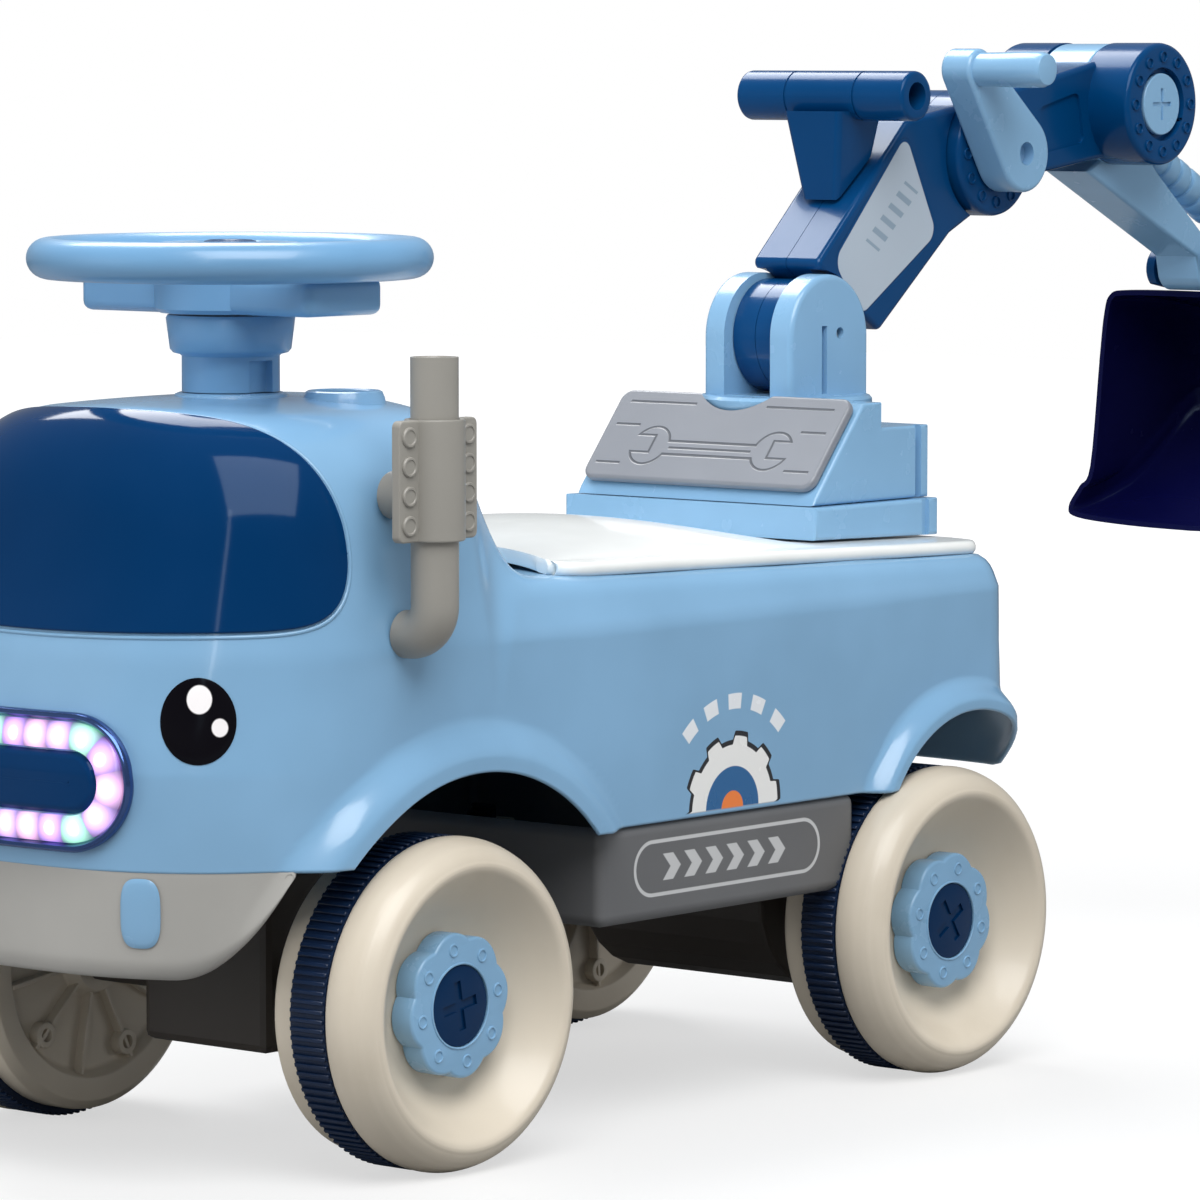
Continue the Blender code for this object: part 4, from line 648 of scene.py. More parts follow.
def body_badge(tree, place, base, rough, height):
    x, y, z = place.parts()
    along, up = y - (0.030 - SHIFT), z - 0.148
    side = abs(x).ramp(0.10, 0.11)
    span = (along * along + up * up).root()
    angle = any_node(tree, "ShaderNodeMath", {"operation": "ARCTAN2"}, {0: up, 1: along})
    teeth = (angle * 10.0).wave().ramp(-0.35, 0.35) * 0.0042
    disc = (span - teeth).ramp(0.0335, 0.0330)
    edge = (span - teeth).ramp(0.0310, 0.0305)
    hub = span.ramp(0.0205, 0.0200)
    dot = span.ramp(0.0085, 0.0080)
    above = up.ramp(-0.0005, 0.0005)
    arc_angle = (angle * (9.0 / math.pi)).fraction()
    dash = ring_mask(span, 0.052, 0.0038) * ring_mask(arc_angle, 0.5, 0.27, 0.02)
    dash = dash * angle.ramp(0.68, 0.70) * angle.ramp(2.46, 2.44)
    ink = disc * above * side
    base = blend_colour(tree, ink, base, srgb(24, 27, 34))
    base = blend_colour(tree, edge * above * side, base, srgb(238, 238, 236))
    base = blend_colour(tree, hub * above * side, base, srgb(32, 96, 150))
    base = blend_colour(tree, dot * above * side, base, srgb(240, 130, 60))
    base = blend_colour(tree, dash * side, base, srgb(232, 236, 240))
    printed = (ink + dash * side).low(1.0)
    return base, rough + printed * 0.06, height + printed * 0.10


body_finish = plastic("body_finish", SKY, 0.2, ripple=0.14, coat=0.3, detail=body_badge)
print("body finish made")

# %% The shell as a grid


def body_columns():
    """(pole y, direction) of each column, from the nose round the left side to the tail."""
    tips = []
    for middle, height, inner, _ in ARCHES:
        half = math.sqrt(inner ** 2 - (BODY_BOTTOM - height) ** 2)
        tips.append((middle - half, middle + half))
    (low, high), (rear_low, _) = tips
    columns = [(low, a) for a in np.radians(np.linspace(0.0, 90.0, 40))]
    stations = list(np.linspace(low, high, 66)[1:]) + list(np.linspace(high, rear_low, 84)[1:])
    stations += list(np.linspace(rear_low, TAIL_Y, 40)[1:])
    columns += [(y, math.pi / 2) for y in stations]
    return columns + [(TAIL_Y, a) for a in np.radians(np.linspace(90.0, 180.0, 36)[1:])]


def arch_height(y):
    height = np.full_like(y, BODY_BOTTOM)
    for middle, centre, inner, _ in ARCHES:
        inside = np.maximum(inner ** 2 - (y - middle) ** 2, 0.0)
        height = np.where(np.abs(y - middle) < inner, np.maximum(height, centre + np.sqrt(inside)), height)
    return height


def body_grid():
    """Rows of points on the whole shell, from the lower edge up to the middle line."""
    columns = body_columns()
    poles = np.array([(0.0, y, 0.0) for y, _ in columns])
    flat = np.array([(math.sin(a), -math.cos(a), 0.0) for _, a in columns])
    low = arch_height(reach(poles + (0.0, 0.0, BODY_BOTTOM), flat)[:, 1])
    rows = []
    for share in np.linspace(0.0, 1.0, 26) ** 1.15:
        start = poles.copy()
        start[:, 2] = low + (BELT - low) * share
        rows.append(reach(start, flat))
    for rise in np.radians(np.concatenate([np.linspace(2.0, 60.0, 42), np.linspace(63.0, 90.0, 9)])):
        rows.append(reach(poles + (0.0, 0.0, BELT),
                          flat * math.cos(rise) + np.array((0.0, 0.0, math.sin(rise)))))
    half = np.array(rows)
    half[:, [0, -1], 0] = 0.0
    half[-1, :, 0] = 0.0
    other = half[:, -2:0:-1] * (-1.0, 1.0, 1.0)
    return np.concatenate([half, other], axis=1)


WALL = 0.003
shell_points = body_grid()
shell_normals = outward(shell_points)
shell_normals[:, [0, shell_points.shape[1] // 2], 0] = 0.0
body_mesh = thick_sheet(shell_points, unit(shell_normals), WALL, wrap=True)


def exact_normals(mesh, tolerance=0.00004):
    """Shades every face corner that lies on the formula's surface with the formula's own normal."""
    count = len(mesh.vertices)
    place = np.empty(count * 3)
    mesh.vertices.foreach_get("co", place)
    place = place.reshape(-1, 3)
    normal = outward(place)
    near = np.abs(body_distance(*place.T)) < tolerance
    corner = np.empty(len(mesh.loops), int)
    mesh.loops.foreach_get("vertex_index", corner)
    facing = np.array([v.vector[:] for v in mesh.corner_normals])
    use = near[corner] & ((facing * normal[corner]).sum(axis=1) > 0.6)
    facing[use] = normal[corner][use]
    mesh.normals_split_custom_set([tuple(v) for v in facing])


# %% The shell, with the roof's cup and boss
CUP_CENTRE, CUP_RADIUS, CUP_RIM = (0.043, -0.155), 0.0150, 0.0042
COLUMN_FOOT = 0.3546
BOSS_TOP = COLUMN_FOOT - 0.0005
roof_at_cup = float(top_height(np.array(CUP_CENTRE[0]), np.array(CUP_CENTRE[1])))
cup_hole = rod("Z", roof_at_cup - 0.016, roof_at_cup + 0.03, CUP_RADIUS + 0.002, CUP_CENTRE, 64)
column_hole = rod("Z", ROOF_Z - 0.018, ROOF_Z + 0.047, 0.0072, (0.0, -AXLE_Y), 40)
body_mesh = cut(body_mesh, cup_hole, column_hole)
body_mesh.shade_smooth()
body_mesh.set_sharp_from_angle(angle=math.radians(45))
exact_normals(body_mesh)
piece("body_moulding", body_mesh, body_finish, "lorry", ["body_shell"], weigh=False)
top = roof_at_cup + CUP_RIM
cup = turned([(0.0, top - 0.0150), (CUP_RADIUS - 0.0025, top - 0.0150), (CUP_RADIUS - 0.0006, top - 0.0125),
              (CUP_RADIUS, top - 0.0012), (CUP_RADIUS + 0.0008, top - 0.0003), (CUP_RADIUS + 0.0018, top),
              (CUP_RADIUS + 0.0030, top - 0.0006), (CUP_RADIUS + 0.0042, top - 0.0035),
              (CUP_RADIUS + 0.0050, top - 0.0080),
              (CUP_RADIUS + 0.0020, top - 0.0100), (CUP_RADIUS + 0.0016, top - 0.0180), (0.0, top - 0.0180)],
             96, (*CUP_CENTRE, 0.0), closed=False)
piece("roof_cup", cup, sky_plastic, "lorry", weigh=False)
boss = turned([(0.0085, BOSS_TOP - 0.0101), (0.0300, BOSS_TOP - 0.0101), (0.0275, BOSS_TOP - 0.0031),
               (0.0262, BOSS_TOP - 0.0007), (0.0245, BOSS_TOP), (0.0085, BOSS_TOP)], 96, (0.0, -AXLE_Y, 0.0))
piece("column_boss", boss, sky_plastic, "lorry", weigh=False)

# %% [markdown]
# ## Windshield
# A glossy dark blue screen wraps round the cab. It's a printed, lacquered panel rather than glass, so it is
# a thin sheet on the shell's surface with a smooth finish, and a fine bead of the body frames it.

# %% Windshield and its bead


def screen_bounds(share):
    """The screen's lower and upper rise at a share of its half turn."""
    share = np.abs(share)
    middle = math.radians(20.0)
    low = middle - (middle - math.radians(5.5)) * np.sqrt(1.0 - share ** 14)
    roof = np.radians(60.0 - 13.0 * share ** 1.7)
    return low, middle + (roof - middle) * np.sqrt(1.0 - share ** 6.5)


def screen_points(turns, rises):
    flat = np.cos(rises)
    directions = np.stack([np.sin(turns) * flat, -np.cos(turns) * flat, np.sin(rises)], axis=-1)
    return reach((0.0, NOSE_Y, BELT), directions)


SCREEN_TURN = math.radians(76.0)
across = np.sin(np.radians(np.linspace(-90.0, 90.0, 121)))
low_rise, high_rise = screen_bounds(across)
levels = 0.5 - 0.5 * np.cos(np.linspace(0.0, math.pi, 45))
rises = low_rise[None] + (high_rise - low_rise)[None] * levels[:, None]
screen = screen_points(np.broadcast_to(across * SCREEN_TURN, rises.shape), rises)
film = plastic("screen_film", srgb(0, 50, 96), 0.1, ripple=0.03, grain=0.01, coat=0.1, marks=0.02, shine=0.22)
screen_mesh = thick_sheet(screen[:, 1:-1], outward(screen[:, 1:-1]), 0.0016, 0.0017)
piece("windshield_panel", screen_mesh, film, "lorry", ["windshield"], weigh=False)


def tube_round(path, radius, normals, sides=10, closed=True):
    """A tube along a path of points."""
    path = np.array(path)
    ahead = unit(np.roll(path, -1, axis=0) - np.roll(path, 1, axis=0))
    if not closed:
        ahead[0], ahead[-1] = unit(path[1] - path[0]), unit(path[-1] - path[-2])
    normal = unit(normals - ahead * (normals * ahead).sum(axis=1)[:, None])
    across = np.cross(ahead, normal)
    rings = [path + (normal * math.cos(t) + across * math.sin(t)) * radius
             for t in np.linspace(0.0, 2 * math.pi, sides, endpoint=False)]
    grid = np.array(rings)
    if closed:
        return grid_mesh([(grid, True, True)])
    ends = [np.repeat(path[None, [0]], sides, axis=0), np.repeat(path[None, [-1]], sides, axis=0)]
    return grid_mesh([(np.concatenate([ends[0], grid, ends[1]], axis=1), True, False)])


def screen_edge(grow):
    """The screen's outline, moved outward over the surface."""
    loop = np.concatenate([screen[0], screen[1:-1, -1], screen[-1, ::-1], screen[-2:0:-1, 0]])
    keep = [0]
    for i in range(1, len(loop)):
        if np.linalg.norm(loop[i] - loop[keep[-1]]) > 0.0012:
            keep.append(i)
    loop = loop[keep]
    normal = outward(loop)
    ahead = unit(np.roll(loop, -1, axis=0) - np.roll(loop, 1, axis=0))
    away = np.cross(ahead, normal)
    moved = loop + away * grow
    return moved - outward(moved) * body_distance(*moved.T)[:, None]


bead_path = screen_edge(0.0026)
bead_normals = outward(bead_path)
bead = tube_round(bead_path - bead_normals * 0.0003, 0.0011, bead_normals)
piece("windshield_bead", bead, sky_plastic, "lorry", weigh=False)

# %% [markdown]
# ## Lamp on the nose
# A stadium-shaped light ring with small coloured lamps behind a clear lens, in a dark metallised bezel,
# round a glossy dark panel. Its rings are swept along the stadium on the nose's surface. The lens carries
# its own map: one coordinate counts the lamps and the other crosses the ring, so the glow can be drawn at
# each lamp.

# %% Rings on the nose
LAMP_Z, LAMP_HALF_LENGTH, LAMP_HALF_HEIGHT = 0.185, 0.0665, 0.0312


def stadium_loop(half_length, half_height, count=192):
    """Points of a stadium on the nose, at even steps along it, with surface normals."""
    straight = half_length - half_height
    total = 4 * straight + 2 * math.pi * half_height
    made = []
    for s in np.linspace(0.0, total, count, endpoint=False):
        if s < 2 * straight:
            made.append((-straight + s, -half_height))
        elif s < 2 * straight + math.pi * half_height:
            t = (s - 2 * straight) / half_height - math.pi / 2
            made.append((straight + half_height * math.cos(t), half_height * math.sin(t)))
        elif s < 4 * straight + math.pi * half_height:
            made.append((straight - (s - 2 * straight - math.pi * half_height), half_height))
        else:
            t = (s - 4 * straight - math.pi * half_height) / half_height + math.pi / 2
            made.append((-straight + half_height * math.cos(t), half_height * math.sin(t)))
    start = np.array([(x, NOSE_Y, LAMP_Z + z) for x, z in made])
    points = reach(start, (0.0, -1.0, 0.0))
    return points, outward(points)


def stadium_band(profile):
    """A closed band round the lamp from (inset, lift) points."""
    rows = []
    for inset, lift in profile:
        points, normals = stadium_loop(LAMP_HALF_LENGTH - inset, LAMP_HALF_HEIGHT - inset)
        rows.append(points + normals * lift)
    return np.array(rows)


# %% Bezel and lens
LAMPS, RING_MIDDLE = 20, 0.0105
bezel_profile = [(0.0000, 0.0002), (-0.0002, 0.0030), (0.0004, 0.0046), (0.0014, 0.0054), (0.0024, 0.0050),
                 (0.0032, 0.0038), (0.0036, 0.0002)]
bezel_finish = plastic("bezel_chrome", srgb(70, 96, 150), 0.16, metallic=0.85, ripple=0.05, grain=0.05)
bezel = grid_mesh([(stadium_band(bezel_profile), True, True)])
piece("lamp_surround", bezel, bezel_finish, "lorry", ["lamp_bezel"], weigh=False)


def ring_uv(mesh, count):
    """Writes a map on the lens: u counts the lamps along the ring, v is 0 at its middle."""
    layer = mesh.uv_layers.new(name="lamp_map")
    middle = LAMP_HALF_HEIGHT - RING_MIDDLE
    straight = LAMP_HALF_LENGTH - LAMP_HALF_HEIGHT
    quarter = math.pi * middle
    total = 4 * straight + 2 * quarter
    place = [v.co for v in mesh.vertices]
    for polygon in mesh.polygons:
        values = []
        for loop in polygon.loop_indices:
            co = place[mesh.loops[loop].vertex_index]
            x, z = co.x, co.z - LAMP_Z
            if abs(x) <= straight:
                s = x + straight if z < 0 else 2 * straight + quarter + straight - x
                v = abs(z) - middle
            else:
                turn = math.atan2(z, x - straight if x > 0 else x + straight)
                if x > 0:
                    s = 2 * straight + (turn + math.pi / 2) * middle
                else:
                    s = 4 * straight + quarter + ((turn - math.pi / 2) % (2 * math.pi)) * middle
                v = math.hypot(abs(x) - straight, z) - middle
            values.append([loop, s / total * count, v])
        most = max(u for _, u, _ in values)
        for loop, u, v in values:
            layer.data[loop].uv = (u + count if most - u > count / 2 else u, v)


def lens_material():
    """Each lamp is a white core in a coloured glow; the colours take turns round the ring."""
    material, tree, shader = new_material("lamp_lens")
    shader.inputs["Coat Weight"].default_value = 0.6
    shader.inputs["Emission Strength"].default_value = 1.6
    u, v, _ = any_node(tree, "ShaderNodeUVMap", {"uv_map": "lamp_map"}).parts()
    offset = u.fraction() - 0.5
    spread = (offset * offset * 13.0 + v * v * 62500.0).root()
    core, glow = spread.ramp(1.0, 0.35), spread.ramp(2.9, 0.3)
    which = (u.floor() + 0.5) / 4.0
    stops = [(0.0, srgb(206, 150, 255)), (0.26, srgb(150, 255, 190)), (0.51, srgb(226, 180, 255)),
             (0.76, srgb(255, 190, 225))]
    tint = any_node(tree, "ShaderNodeValToRGB", {"stops": stops}, {0: which.fraction()})
    tree.nodes[-1].color_ramp.interpolation = "CONSTANT"
    lens = blend_colour(tree, glow, srgb(112, 104, 168), srgb(206, 184, 232))
    light = blend_colour(tree, core, tint, srgb(255, 255, 255))
    shone = blend_colour(tree, glow, srgb(26, 14, 48), light)
    for key, value in (("Base Color", lens), ("Emission Color", shone), ("Roughness", 0.18 + core * 0.1)):
        tree.links.new(value.socket, shader.inputs[key])
    return material


lens_profile = [(0.0042, 0.0004), (0.0042, 0.0026), (0.0060, 0.0036), (0.0085, 0.0041), (RING_MIDDLE, 0.0042),
                (0.0125, 0.0041), (0.0150, 0.0036), (0.0165, 0.0026), (0.0165, 0.0004)]
lens_mesh = grid_mesh([(stadium_band(lens_profile), True, True)])
ring_uv(lens_mesh, LAMPS)
piece("lamp_lens_ring", lens_mesh, lens_material(), "lorry", ["lamp_ring"], weigh=False)


PANEL_INSET = 0.0172


def lamp_panel_mesh():
    rows = []
    for share in np.linspace(0.0, 1.0, 12):
        inset = PANEL_INSET + (LAMP_HALF_HEIGHT - PANEL_INSET - 0.00001) * share
        points, normals = stadium_loop(LAMP_HALF_LENGTH - inset, LAMP_HALF_HEIGHT - inset)
        rows.append(points + normals * (0.0024 * min(1.0, 0.3 + share * 4.0)))
    points, normals = stadium_loop(LAMP_HALF_LENGTH - PANEL_INSET, LAMP_HALF_HEIGHT - PANEL_INSET)
    return grid_mesh([(np.array([points + normals * 0.0003] + rows), False, True)])


panel_mesh = lamp_panel_mesh()
piece("lamp_dark_panel", panel_mesh, film, "lorry", ["lamp_panel"], weigh=False)

# %% [markdown]
# ## Eyes
# Two friendly black ovals look ahead. They are domed stickers with two pale highlights, which the shader
# draws in each oval's own map, so both eyes look the same way.

# %% Eyes


def surface_oval(place, half_width, half_height, power=2.0, rings=14, count=64, dome=0.0014, foot=0.0003):
    """A domed patch on the shell round a place on it, with a map from -1 to 1."""
    centre = np.array(place)
    normal = outward(centre[None])[0]
    side = unit(np.cross((0.0, 0.0, 1.0), normal))
    up = np.cross(normal, side)
    angles = np.linspace(0.0, 2 * math.pi, count, endpoint=False)
    cos, sin = np.cos(angles), np.sin(angles)
    reach_out = (np.abs(cos) ** power + np.abs(sin) ** power) ** (-1.0 / power)
    rows = []
    for share in np.linspace(1.0, 0.0, rings):
        u, v = cos * reach_out * share, sin * reach_out * share
        flat = centre + side * (half_width * u)[:, None] + up * (half_height * v)[:, None]
        on = reach(flat - normal * 0.06, normal)
        rows.append(on + outward(on) * (foot + dome * math.sqrt(max(0.0, 1.0 - share ** 2.6))))
    mesh = grid_mesh([(np.array(rows), False, True)])
    layer = mesh.uv_layers.new(name="patch_map")
    for loop in mesh.loops:
        co = np.array(mesh.vertices[loop.vertex_index].co) - centre
        layer.data[loop.index].uv = (float(co @ side) / half_width, float(co @ up) / half_height)
    return mesh


def eye_paint(tree, place, base, rough, height):
    """Two pale highlights in the oval's own map."""
    u, v, _ = any_node(tree, "ShaderNodeUVMap", {"uv_map": "patch_map"}).parts()

    def spot(at_u, at_v, size):
        return ((u - at_u) * (u - at_u) + (v - at_v) * (v - at_v)).root().ramp(size + 0.02, size - 0.02)

    shine = (spot(0.04, 0.50, 0.33) + spot(0.58, -0.14, 0.21)).low(1.0)
    return blend_colour(tree, shine, base, srgb(250, 246, 246)), rough, height


eye_finish = plastic("eye_print", srgb(12, 9, 14), 0.15, ripple=0.02, grain=0.02, detail=eye_paint,
                     marks=0.02, shine=0.2)
eye_spot = reach((0.0, NOSE_Y, 0.2145), unit(np.array((0.09, -0.094, 0.0))))
for side, sign in (("left", 1.0), ("right", -1.0)):
    oval = surface_oval(eye_spot * (sign, 1.0, 1.0), 0.0172, 0.0196, dome=0.0010)
    piece(f"eye_{side}_print", oval, eye_finish, "lorry", [f"eye_{side}"], weigh=False)

# %% [markdown]
# ## Front bumper
# A grey fascia hangs under the nose. It follows the shell's plan, tucks under at the bottom and curves up
# at its ends to clear the wheels. Two light blue accents stand on it.

# %% Bumper


BUMPER_LOW, BUMPER_COLUMNS, BUMPER_ROLL = 0.0965, 141, 0.22


def bumper_low(turns):
    """The fascia's lower edge: level in front, rising where it nears the wheels."""
    share = np.clip((np.abs(turns) - math.radians(38.0)) / math.radians(24.0), 0.0, 1.0)
    return BUMPER_LOW + (BODY_BOTTOM - GAP - BUMPER_LOW) * 0.90 * share ** 2.2


BUMPER_TURN = math.radians(62.0)
bumper_turns = np.linspace(-BUMPER_TURN, BUMPER_TURN, BUMPER_COLUMNS)
bumper_flat = np.stack([np.sin(bumper_turns), -np.cos(bumper_turns), np.zeros(BUMPER_COLUMNS)], axis=1)


def bumper_rows():
    low = bumper_low(bumper_turns)
    rows = []
    for share in np.concatenate([np.linspace(0.0, BUMPER_ROLL, 9), np.linspace(0.27, 1.0, 14)]):
        start = np.zeros((BUMPER_COLUMNS, 3))
        start[:, 1], start[:, 2] = NOSE_Y, low + (BODY_BOTTOM - 0.0012 - low) * share
        rolled = 1.0 - min(1.0, share / BUMPER_ROLL)
        tuck = 0.0075 * (1.0 - math.sqrt(1.0 - rolled ** 2))
        rows.append(reach(start, bumper_flat) - bumper_flat * (0.0006 + tuck))
    return np.array(rows)


bumper_points = bumper_rows()
ahead = np.gradient(bumper_points, axis=1)
upward = np.gradient(bumper_points, axis=0)
bumper_normals = unit(np.cross(ahead, upward))
bumper_mesh = thick_sheet(bumper_points, bumper_normals, 0.0036)
piece("bumper_fascia", bumper_mesh, grey_plastic, "lorry", ["front_bumper"], weigh=False)
ACCENT_TURN = math.radians(32.0)
accent = reach((0.0, NOSE_Y, 0.1275), (math.sin(ACCENT_TURN), -math.cos(ACCENT_TURN), 0.0))
for side, sign in (("left", 1.0), ("right", -1.0)):
    oval = surface_oval(accent * (sign, 1.0, 1.0), 0.0096, 0.0158, 3.2, dome=0.0016, foot=0.0001)
    piece(f"accent_{side}", oval, sky_plastic, "lorry", [f"bumper_accent_{side}"],
          weigh=False)

# %% [markdown]
# ## Wheels
# Each wheel is two blow-moulded cream halves with a ribbed navy tread band between them. The outer half has
# a deep bowl that runs in to a scalloped hub cap. Turned profiles give the halves; the ribs of the band,
# the small rings on the cap and the screw bosses inside repeat round the axle. One wheel is built, then
# copied or mirrored to its four places.

# %% Wheel shapes


def thin_ring(radius, wire, place, sides=28):
    """A small torus about X."""
    section = [(radius + wire * math.cos(a), wire * math.sin(a)) for a in np.linspace(0.0, math.tau, 9)[:-1]]
    return turned(section, sides, place, "X")


def round_axle(item, count):
    """Copies of an item round the wheel's axle, which is the X axis."""
    item.transform(Matrix.Rotation(math.radians(-90), 4, "Y"))
    ring = repeated(item, count, turn=math.tau / count)
    ring.transform(Matrix.Rotation(math.radians(90), 4, "Y"))
    return ring


def outer_half_mesh():
    tread = smooth_path([(0.0752, SEAM_OUT + 0.0004), (0.0768, SEAM_OUT + 0.0020),
                         (0.0775, SEAM_OUT + 0.0060),
                         (0.0772, 0.1385), (0.0758, 0.1432), (0.0744, 0.1462)], 5)
    shoulder = smooth_path([(0.0736, 0.1474), (0.0712, 0.1500), (0.0690, 0.1516), (0.0672, 0.1524)], 5)
    dish = smooth_path([(0.0662, 0.1530), (0.0645, 0.1530), (0.0622, 0.1518), (0.0590, 0.1480),
                        (0.0540, 0.1420),
                        (0.0480, 0.1362), (0.0420, 0.1322), (0.0370, 0.1303), (0.0330, 0.1297)], 6)
    face = [tuple(p) for part in (tread, shoulder, dish) for p in part]
    back = [(0.0060, 0.1297), (0.0060, SEAM_OUT - 0.001), (0.0700, SEAM_OUT - 0.001),
            (0.0740, SEAM_OUT + 0.0004)]
    return turned(face + back, 120, axis="X")


def inner_half_mesh():
    profile = rounded([(0.0730, SEAM_IN - GAP), (0.0060, SEAM_IN - GAP), (0.0060, 0.0885), (0.0150, 0.0885),
                       (0.0180, 0.0965),
                       (0.0540, 0.0965), (0.0575, 0.0905), (0.0685, 0.0905), (0.0730, 0.0945)],
                      [0, 0, 0, 0.001, 0.002, 0.003, 0.0015, 0.002, 0.002], 4)
    base = turned(profile, 96, axis="X")
    rib = block((0.0912, -0.0011, 0.016), (0.0970, 0.0011, 0.0560), 0.0004, 1)
    screw_well = rod("X", 0.080, 0.0945, 0.0034, (0.0, 0.0), 20)
    boss = cut(rod("X", 0.0906, 0.0970, 0.0062, (0.0, 0.0), 28, 0.0006), screw_well)
    boss.transform(Matrix.Translation((0.0, 0.0, 0.0475)))
    return joined(base, round_axle(rib, 10), round_axle(boss, 5))


TREAD_RIBS = 112


def tread_mesh():
    band = turned([(0.0760, SEAM_IN), (0.0760, SEAM_OUT), (0.0690, SEAM_OUT), (0.0690, SEAM_IN)],
                  160, axis="X")
    rib = block((0.0752, -0.00105, SEAM_IN + 0.0004), (0.0774, 0.00105, SEAM_OUT - 0.0004), 0.0004, 1)
    ribs = repeated(rib, TREAD_RIBS, turn=math.tau / TREAD_RIBS)
    ribs.transform(Matrix(((0, 0, 1, 0), (1, 0, 0, 0), (0, 1, 0, 0), (0, 0, 0, 1))))
    return joined(band, ribs)


CAP_LOW, CAP_HIGH, LOBES, OUTLINE_STEPS = SEAM_OUT + 0.0023, 0.1427, 8, 160


def hub_cap_mesh():
    outline = []
    for k in range(OUTLINE_STEPS):
        angle = math.tau * k / OUTLINE_STEPS
        r = 0.0312 + 0.0030 * abs(math.cos(LOBES * angle / 2)) ** 0.9
        outline.append((r * math.cos(angle), r * math.sin(angle)))
    cap = plate(outline, CAP_LOW, CAP_HIGH, 0.0016, 3)
    cap = cut(cap, rod("X", CAP_HIGH - 0.0018, CAP_HIGH + 0.01, 0.0192, (0.0, 0.0), 64))
    ring = thin_ring(0.0027, 0.0006, (CAP_HIGH, 0.0, 0.0264), 22)
    return joined(cap, round_axle(ring, LOBES), thin_ring(0.0196, 0.0006, (CAP_HIGH, 0.0, 0.0), 64))


def hub_plug_mesh():
    """A disc with a cross-shaped slot."""
    disc = rod("X", CAP_HIGH - 0.0017, CAP_HIGH - 0.0003, 0.0188, (0.0, 0.0), 64, 0.0005)
    arms = [block((CAP_HIGH - 0.0014, -0.0115, -0.0023), (CAP_HIGH + 0.01, 0.0115, 0.0023)),
            block((CAP_HIGH - 0.0014, -0.0023, -0.0115), (CAP_HIGH + 0.01, 0.0023, 0.0115))]
    return cut(disc, *arms)


print("wheel shapes ready")

# %% Four wheels


def scuff(tree, place, base, rough, height):
    """Rolling leaves the cream halves a little duller and dusty in patches."""
    dust = noise(tree, place, 22.0, 6.0).ramp(0.5, 0.78)
    lines = noise(tree, place, 240.0, 3.0).ramp(0.55, 0.75)
    base = blend_colour(tree, dust * 0.22, base, srgb(186, 172, 150))
    return base, rough + dust * 0.08, height + lines * 0.04


plug_plastic = plastic("plug_plastic", srgb(0, 40, 78), 0.2, shine=0.4)
wheel_cream = plastic("wheel_cream", srgb(216, 205, 187), 0.36, ripple=0.2, coat=0.12, detail=scuff)
wheel_shapes = (("outer_half", "wheel_face", outer_half_mesh(), wheel_cream, "cream_plastic"),
                ("inner_half", "wheel_back", inner_half_mesh(), wheel_cream, "cream_plastic"),
                ("tread", "tread_band", tread_mesh(), tread_plastic, "tread_navy"),
                ("hub_cap", "hub_ring", hub_cap_mesh(), sky_plastic, "sky_blue_plastic"),
                (None, "hub_plug", hub_plug_mesh(), plug_plastic, "deep_blue_plastic"))
for axle, axle_y, rolled in (("front", -AXLE_Y, math.radians(10.0)), ("rear", AXLE_Y, math.radians(32.0))):
    for side, facing in (("left", 0.0), ("right", math.pi)):
        wheel = f"{axle}_{side}_wheel"
        stand = Matrix.Translation((0.0, axle_y, WHEEL_RADIUS))
        stand = stand @ Matrix.Rotation(facing, 4, "Z")
        stand = stand @ Matrix.Rotation(rolled, 4, "X")
        for node, name, shape, material, slot in wheel_shapes:
            copy = shape.copy()
            copy.transform(stand)
            piece(f"{wheel}_{name}", copy, material, wheel, [f"{wheel}_{node}"] if node else [],
                  weigh=False)

# %% [markdown]
# ## Under the body
# A shallow grey sill pan fills the gap between the wheels and carries a printed pill with plain chevrons;
# its grey is darker than the bumper's, as painted shade under the body.
# The axle beam, the rear bracket, the battery case, its door and the steel rods are rarely seen, so their
# CAD solids stay and only get a finish; the dark brown of the beam, bracket and case is painted shade. The
# two arm shafts show at their ends, which are of the arm's own dark plastic.

# %% Sill and chassis
SILL_FRONT, SILL_REAR, SILL_LOW, SILL_HALF, SILL_WALL = -0.068, 0.129, 0.0985, 0.127, 0.004


def sill_print(tree, place, base, rough, height):
    """A pill-shaped outline round a row of chevrons."""
    x, y, z = place.parts()
    along, up = y - (0.028 - SHIFT), z - 0.1240
    side = abs(x).ramp(SILL_HALF - 0.004, SILL_HALF - 0.002)
    out = (abs(along) - 0.058).high(0.0)
    pill = (out * out + up * up).root()
    line = ring_mask(pill, 0.0128, 0.0009)
    sweep = along + abs(up) * 0.9
    bars = ring_mask((sweep * 62.0).fraction(), 0.5, 0.24, 0.03) * abs(up).ramp(0.0066, 0.0062)
    bars = bars * abs(sweep - 0.0036).ramp(0.0487, 0.0484)
    base = blend_colour(tree, (line + bars) * side, base, srgb(196, 197, 198))
    return base, rough, height - (line * side) * 0.2
